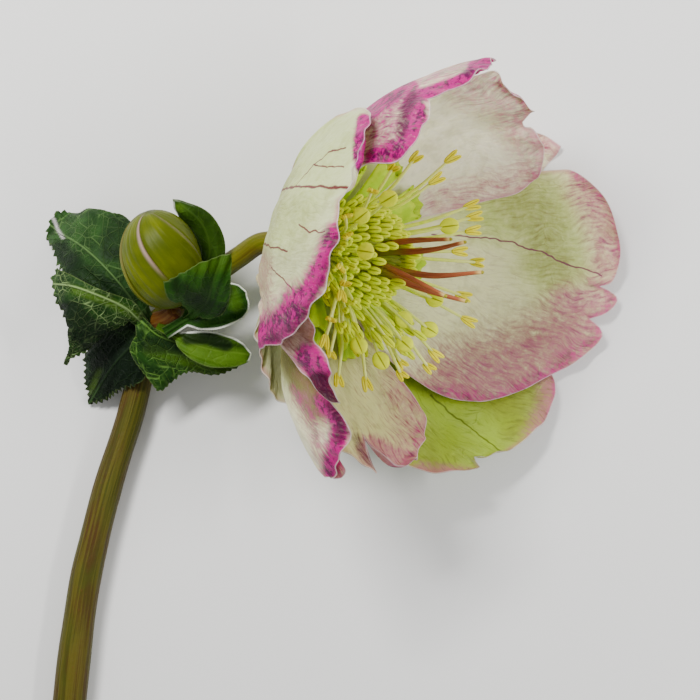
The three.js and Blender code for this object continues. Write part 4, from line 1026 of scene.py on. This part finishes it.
def make_pistil():
    piece = Piece()
    turned(piece, OVARY)
    for i, (azimuth, spread, length, sag) in enumerate(STYLES):
        tip = tip_of(azimuth, spread, length)
        foot, ovary = (around(110 - 72 * i, radius, height) for radius, height in ((0.9, 3), (1.3, 11)))
        bend = lerp(ovary, tip, 0.55) + AXIS * (0.7 if i % 2 else -0.5) + (0.0, sag, 0.0)
        tube(piece, [foot, ovary, bend, tip], style_radius, 12, 36, (0.3, 0.9, 0.1))
        d = unit(tip - bend)
        side = unit(np.cross(d, AXIS))
        ball(piece, tip, d * 0.34, side * 0.26, np.cross(side, d) * 0.26, rings=8, sides=10)
    look = Look("style", roughness=0.4, subsurface=0.1)
    turn, along, share = look.split(look.attribute("flat"))
    streak = look.noise((turn * 3, along * 0.3))
    look.ground = look.mix(share.span(0.45, 0.66), (150, 148, 30), (158, 88, 58))
    look.wash(streak.span(0.4, 0.7, 0, 0.45), (108, 46, 34))
    look.wash(share.span(0.95, 1, 0, 0.8), (214, 186, 110))
    piece.make("ovary_and_styles", look.finished(streak, 0.4, 0.15), "pistil", "pistil")


# ---- stem, stalks and bud ----
STEM = [
    (-41.7, -72.7, 2.7), (-41.3, -61.1, 2.6), (-40.8, -50.9, 2.6), (-39, -36.3, 2.7), (-37.2, -27.6, 2.8),
    (-34.9, -18.8, 2.8), (-32.1, -10.1, 2.9), (-30.4, -3.6, 3.4), (-29, 1, 5), (-28, 4, 7.3),
]
FLOWER_STALK = [(-28, 4, 7), (-24.4, 6.9, 6.2), (-19.9, 10.6, 7.1), (-15.8, 13.4, 9.2), (-12.6, 15.3, 11),
                around(0, 0, -3.6)]
BUD_STALK = [(-28, 4, 7), (-26.4, 4.6, 9.8), (-25, 5.5, 11.8)]
BUD = np.array([(-24.7, 6.2, 12.8), (-28.6, 19.5, 17.3)])  # its foot and its tip
BUD_RADIUS = 5.7
SEPALS = 5
SEPAL_WIDE = 1.28  # width of a sepal against its own share of the bud's round
SEPAL_WIND = 0.9  # how far it winds from foot to tip, in the same measure
SEPAL_THICK = 0.35
BUD_TURN = math.radians(27)


def make_stalk(name, places, radius, sides, segments, look, *nodes):
    piece = Piece()
    tube(piece, places, radius, sides, segments)
    piece.make(name, look, "stem", *nodes)


def make_stem():
    def stem_radius(t):
        return lerp(2.9, 1.8, t**0.8) * (1 + 0.015 * math.sin(40 * t))

    def flower_stalk_radius(t):
        return lerp(1.65, 1.5, t) + 0.35 * float(ease((t - 0.85) / 0.15))

    def bud_stalk_radius(t):
        return lerp(1.5, 1.1, t)

    look = stalk_look("stem", (58, 60, 8), (64, 44, 12), (88, 82, 20))
    make_stalk("stem_main", STEM, stem_radius, 30, 110, look, "stem")
    look = stalk_look("flower stalk", (86, 92, 10), (84, 62, 14), (108, 104, 26))
    make_stalk("stem_flower_stalk", FLOWER_STALK, flower_stalk_radius, 24, 60, look)
    look = stalk_look("bud stalk", (104, 62, 20), (84, 34, 18), (124, 92, 40))
    make_stalk("stem_bud_stalk", BUD_STALK, bud_stalk_radius, 20, 20, look)


def make_bud():
    """Overlapping sepals wound about the bud, each with a raised edge over the next."""
    piece = Piece()
    a, b = BUD
    long = np.linalg.norm(b - a)
    d = (b - a) / long
    u = unit(np.cross(UP, d))
    t, s = np.linspace(0, 1, 46)[:, None], np.linspace(0, 1, 34)[None]
    full = BUD_RADIUS * np.clip(1 - np.abs(2 * t**0.94 - 1) ** 2.3, 0.0, 1) ** 0.55
    raised = 0.93 + 0.08 * s + 0.012 * np.sin(s * 40 + 3 * t) * np.sin(t * math.pi)
    for k in range(SEPALS):
        turn = (k + s * SEPAL_WIDE - SEPAL_WIND * t) / SEPALS * 2 * math.pi + BUD_TURN
        faces = []
        for inward in (0.0, SEPAL_THICK):
            r = np.maximum(full * raised - inward * np.minimum(1, full), 0.02)
            faces.append(a + d * (long * t)[..., None] + u * (r * np.cos(turn))[..., None]
                         + np.cross(d, u) * (r * np.sin(turn))[..., None])
        flat = np.stack(np.broadcast_arrays((s - 0.5) * 8, long * t, float(k)), -1)
        edge = (1 - s) * 8 + 0 * t
        piece.add_sheet(*faces, True, flat=(flat, flat), edge=(edge, edge))
    look = Look("bud", roughness=0.44, subsurface=0.1)
    flat, edge = look.attribute("flat"), look.attribute("edge", "Fac")
    x, y, which = look.split(flat)
    lines = look.noise((x * 1.6, y * 0.12, which), 1, 3)
    look.ground = look.mix(look.noise(flat, 0.2).span(0.35, 0.7), (74, 84, 0), (98, 106, 4))
    look.wash(lines.span(0.42, 0.66, 0, 0.35), (58, 72, 2))
    look.wash((y - x * 0.5).span(1, 6, 0.5, 0), (50, 64, 4))
    seam = edge.span(0, 0.8, 0.85, 0) * y.span(5, 10)
    look.wash(seam * which.span(0.2, 0.8, 1, 0.2), (176, 140, 140))  # palest on the sepal that faces up
    look.wash(edge.span(0, 0.3, 0.5, 0), (96, 92, 30))
    piece.make("bud_sepals", look.finished(lines, 0.5, 0.25), "bud", "bud")


# ---- leafy bracts ----
TEETH = 40  # round a whole outline, most of them left out
TOOTH_POINT = 0.66  # share of a tooth's width at which its point is
TEETH_ENDS = 0.04  # share of the outline over which the teeth begin or end
TOOTHED_STEPS = 290
PLAIN_STEPS = 150
LEAF_SHARES = np.concatenate([np.linspace(0, 0.92, 26), [0.95, 0.97, 0.985, 1]])
CREASE = 1.2  # width of each side of the fold at a midrib
LEAF_WAVY = 0.45
LEAF_SEED = 20
# For each bract: places along its midrib; the slope of its two sides at the midrib and its change with each
# millimetre out (degrees); the size of its teeth, and from where to where they are; its foot edge, where that
# isn't LEAF_FOOT; and the lobes of its outline, flat, as (across, along).
LEAVES = {
    "bract_leaf_back": dict(
        mid=[(-29.4, 4.6, 8.7), (-32.3, 8.7, 9.8), (-35.6, 12.4, 9.6), (-38.8, 15.1, 7.4),
             (-41.9, 16.9, 3.2), (-43.8, 18.2, -0.7)],
        right=(-4, -4), left=(-8, -3), teeth=(0.75, 0.44, 0.8),
        lobes=[
            [(1.4, 1), (3.6, 4), (6.4, 8.4), (7.6, 11.6), (7.4, 14.2), (6.2, 16.8), (4.8, 20.1),
             (3.3, 23.2), (1.9, 26)],
            [(0.5, 25.6), (-0.9, 24.8), (-1.7, 23.3), (-2.4, 21), (-4, 18.6), (-4.6, 13.6), (-3.8, 8.4),
             (-2.1, 4.7), (-1, 1.6)],
        ]),
    "bract_leaf_front": dict(
        mid=[(-30, 4.1, 9.7), (-32.1, 6.1, 12.4), (-36.3, 8, 14.2), (-39.6, 9.1, 13.4), (-42.1, 9.4, 11)],
        right=(5, -4), left=(-5, -3.5), teeth=(0.75, 0.3, 0.85),
        lobes=[
            [(1.1, 1.4), (1.4, 3.2), (1.1, 5.3), (0.9, 8.3), (1.2, 11.4), (2.2, 15.9)],
            [(0.4, 16.4), (-2, 15.7), (-4, 14.6), (-7.5, 12.4), (-12.5, 9.4)],
            [(-10.3, 7.2), (-8, 4.8), (-5, 2.4), (-2.6, 1.4), (-1.1, 1.3)],
        ]),
    "bract_leaf_low": dict(
        mid=[(-29.6, 2.7, 8.2), (-31.4, 0.7, 7.7), (-34.4, -2.6, 6.2), (-37.9, -7.6, 1)],
        right=(-16, -4), left=(2, -0.8), teeth=(0.75, 0.2, 0.8),
        lobes=[
            [(2.2, -0.6), (4.4, 0.8), (5.4, 3.8), (5.2, 8.8), (3.5, 11.7), (1.8, 13.6), (0.1, 15.4)],
            [(-1.4, 13.1), (-2.4, 9.8), (-4.5, 6.3), (-4.3, 4), (-3, 2.2), (-1, 1.1)],
        ]),
    "bract_leaf_right": dict(
        mid=[(-29.4, 3.7, 9.9), (-27.3, 2, 9.8), (-23.2, 0.4, 8.8), (-19.4, -1.3, 7.6), (-15.7, -2.3, 6.8)],
        right=(-6, -1.6), left=(-4, 0.5), teeth=(0.4, 0.3, 0.8), foot=(1.4, -1.2),
        lobes=[
            [(-0.6, 0.9), (-0.6, 2.6), (-1, 5.4), (-1.3, 9), (-1, 12), (-0.1, 15.3)],
            [(1.3, 13.3), (2.2, 11.7), (2.7, 9.5), (4.3, 7.7), (6.5, 6.5), (7.5, 5.4), (6.2, 3.4),
             (4.8, 1.6), (3.6, 0.5), (2, 0.1)],
        ]),
    "bract_spoon": dict(
        mid=[(-26.2, 3, 10.6), (-22.9, 1, 11.2), (-19.3, 0, 11), (-15.8, -0.4, 10), (-14.1, -0.7, 9)],
        right=(8, 8), left=(8, 8),
        lobes=[
            [(-0.7, 2), (-1.3, 2.8), (-2.3, 5.2), (-2.6, 8), (-1.9, 10.8), (-0.2, 13.3)],
            [(1.2, 12.7), (2.2, 10.4), (2.7, 7.6), (2.2, 4.8), (1.3, 2.8), (0.7, 2)],
        ]),
    "bract_right": dict(
        mid=[(-25.2, 3.1, 12), (-22, 5.1, 12.6), (-18.5, 6.8, 12.4), (-15, 8, 11)],
        right=(6, 5), left=(-10, -6),
        lobes=[
            [(-0.8, 2), (-1.8, 3.8), (-2.4, 7.2), (-2.5, 9.6), (-1.6, 11.4), (-0.2, 12)],
            [(1.5, 11.8), (2.9, 10.8), (3.7, 8.6), (3.6, 6), (2.5, 3.6), (0.9, 2)],
        ]),
    "bract_top": dict(
        mid=[(-23.6, 7.3, 8.45), (-21.2, 10.6, 10.2), (-19.9, 14.2, 12), (-21, 17.9, 13.4),
             (-24, 20.6, 14.6)],
        right=(10, -8), left=(-35, -8),
        lobes=[
            [(0.8, 2.2), (1.8, 4.6), (2.2, 9), (2, 12), (1.5, 14.6), (0.6, 17.2), (-0.2, 18.4)],
            [(-1.4, 17), (-2.8, 14), (-3.4, 9.4), (-2.2, 4.6), (-0.8, 2.2)],
        ]),
    "bract_front": dict(
        mid=[(-22.6, 4.8, 13), (-20.3, 6.7, 17.5), (-19.2, 9.6, 20.7), (-17.8, 13, 21.9)],
        right=(-14, -4), left=(48, -4.5), foot=(1.4, -3),
        lobes=[
            [(0.8, 1.2), (2.4, 3.4), (3.1, 5), (2.9, 8.6), (1.8, 13), (1, 14.6)],
            [(-2.6, 12.6), (-4.3, 11.3), (-5.8, 10.3), (-7.4, 9.6)],
            [(-6.1, 7.6), (-4.3, 5.4), (-2.5, 3), (-0.8, 1.2)],
        ]),
}


def leaf_place(curve, t, x, y, n):
    """Place of a flat bract point, n above the blade, which folds along its midrib."""
    length, at = curve
    s = np.clip(y, 0, length)
    p, d = at(s)
    right = unit(np.cross(d, UP))
    up = np.cross(right, d)
    side = np.where(x < 0, -1.0, 1.0)
    slope, change = (np.radians(np.where(x < 0, t["left"][i], t["right"][i])) for i in (0, 1))
    end = slope + change * np.abs(x)
    lat = (np.sin(end) - np.sin(slope)) / change
    rise = (np.cos(slope) - np.cos(end)) / change
    crease = math.radians(t["right"][0] - t["left"][0]) / 2
    lean = lerp(crease, side * end, ease(np.abs(x) / CREASE))
    lat, rise = side * lat - np.sin(lean) * n, rise + np.cos(lean) * n
    return p + d * (y - s)[..., None] + right * lat[..., None] + up * rise[..., None]


def toothed(margin, size, first, last):
    """Pointed teeth that lean towards the tip, between two shares of the outline."""
    share = np.linspace(0, 1, len(margin))
    d = np.roll(margin, -1, axis=0) - np.roll(margin, 1, axis=0)
    d[0], d[-1] = margin[1] - margin[0], margin[-1] - margin[-2]
    n = unit(np.stack([-d[:, 1], d[:, 0]], -1))
    out = np.where(n[:, 0] * margin[:, 0] + n[:, 1] * (margin[:, 1] - 5) < 0, -1.0, 1.0)
    saw = (share * TEETH + 0.5) % 1
    saw = np.where(saw < TOOTH_POINT, saw / TOOTH_POINT, (1 - saw) / (1 - TOOTH_POINT))
    ends = ease((share - first) / TEETH_ENDS) * ease((last - share) / TEETH_ENDS)
    return margin + n * (out * size * saw**1.3 * ends)[:, None]


LEAF_LOOKS = {  # dark, light, vein, how much the veins show, how deep the net is
    "bract_leaf_back": ((20, 44, 14), (42, 76, 28), (98, 130, 72), 0.6, 0.85),
    "bract_leaf_front": ((16, 40, 10), (36, 68, 22), (136, 162, 100), 0.85, 0.9),
    # bract_leaf_low's tones are much darker than the other bracts': painted shade
    "bract_leaf_low": ((8, 20, 5), (16, 38, 10), (60, 92, 44), 0.5, 0.8),
    "bract_leaf_right": ((14, 38, 8), (32, 66, 16), (96, 134, 54), 0.8, 0.85),
    "bract_spoon": ((38, 68, 8), (66, 98, 20), (108, 136, 54), 0.2, 0.4),
    "bract_right": ((18, 48, 8), (36, 74, 16), (76, 108, 44), 0.2, 0.35),
    "bract_top": ((28, 50, 8), (50, 78, 20), (80, 108, 40), 0.2, 0.35),
    "bract_front": ((24, 58, 8), (42, 82, 20), (86, 118, 50), 0.18, 0.35),
}


def make_leaves():
    for seed, (name, t) in enumerate(LEAVES.items(), LEAF_SEED):
        curve = grown(t["mid"])
        margin = outline(t["lobes"], TOOTHED_STEPS if "teeth" in t else PLAIN_STEPS)
        if "teeth" in t:
            margin = toothed(margin, *t["teeth"])
        look = leaf_look(name.replace("_", " "), *LEAF_LOOKS[name])
        blade(name, t, footed(margin, *t.get("foot", LEAF_FOOT)), LEAF_SHARES,
              lambda x, y, n, t=t, curve=curve: leaf_place(curve, t, x, y, n * 0.9), LEAF_THICK, look,
              "leaf", seed, False, LEAF_WAVY)


# ---- floor, light and camera ----
FLOOR_REACH = 3.0  # in metres, as are AIM and the places of the lamps
AIM = np.array([0.0, 0.01, 0.015])


def make_stage():
    look = Look("floor", roughness=0.9, specular=0.1)
    look.ground = FLOOR
    mesh = bpy.data.meshes.new("floor")
    corners = [(x * FLOOR_REACH, y * FLOOR_REACH, 0) for x, y in ((-1, -1), (1, -1), (1, 1), (-1, 1))]
    mesh.from_pydata(corners, [], [(0, 1, 2, 3)])
    mesh.materials.append(look.finished())
    linked("floor", mesh)
    world = bpy.data.worlds.new("studio")
    world.use_nodes = True
    for socket, value in enumerate(((0.95, 0.97, 1.0, 1.0), 0.55)):
        world.node_tree.nodes["Background"].inputs[socket].default_value = value
    bpy.context.scene.world = world


def lamp(name, at, size, watts):
    """A square soft light that faces the flower."""
    light = bpy.data.lights.new(name, "AREA")
    light.energy = watts
    light.size = size
    made = linked(name, light)
    made.location = at
    x, y, z = AIM - at
    made.rotation_euler = (math.acos(-z / math.hypot(x, y, z)), 0, math.atan2(x, -y))


def make_camera():
    data = bpy.data.cameras.new("camera")
    data.sensor_width = SENSOR
    data.lens = SENSOR * (VIEW_HEIGHT - VIEW_PLANE) / VIEW_WIDTH
    data.clip_start = 0.01
    camera = linked("camera", data)
    camera.location = (TO_FOOTPRINT + (0, 0, VIEW_HEIGHT)) * MM
    bpy.context.scene.camera = camera


make_camera()
make_stage()
lamp("key", (-0.22, 0.3, 0.5), 0.25, 15.5)
lamp("face", (0.42, 0.05, 0.5), 0.3, 15.5)
make_tepals()
make_receptacle()
make_stamens()
make_pistil()
make_stem()
make_bud()
make_leaves()
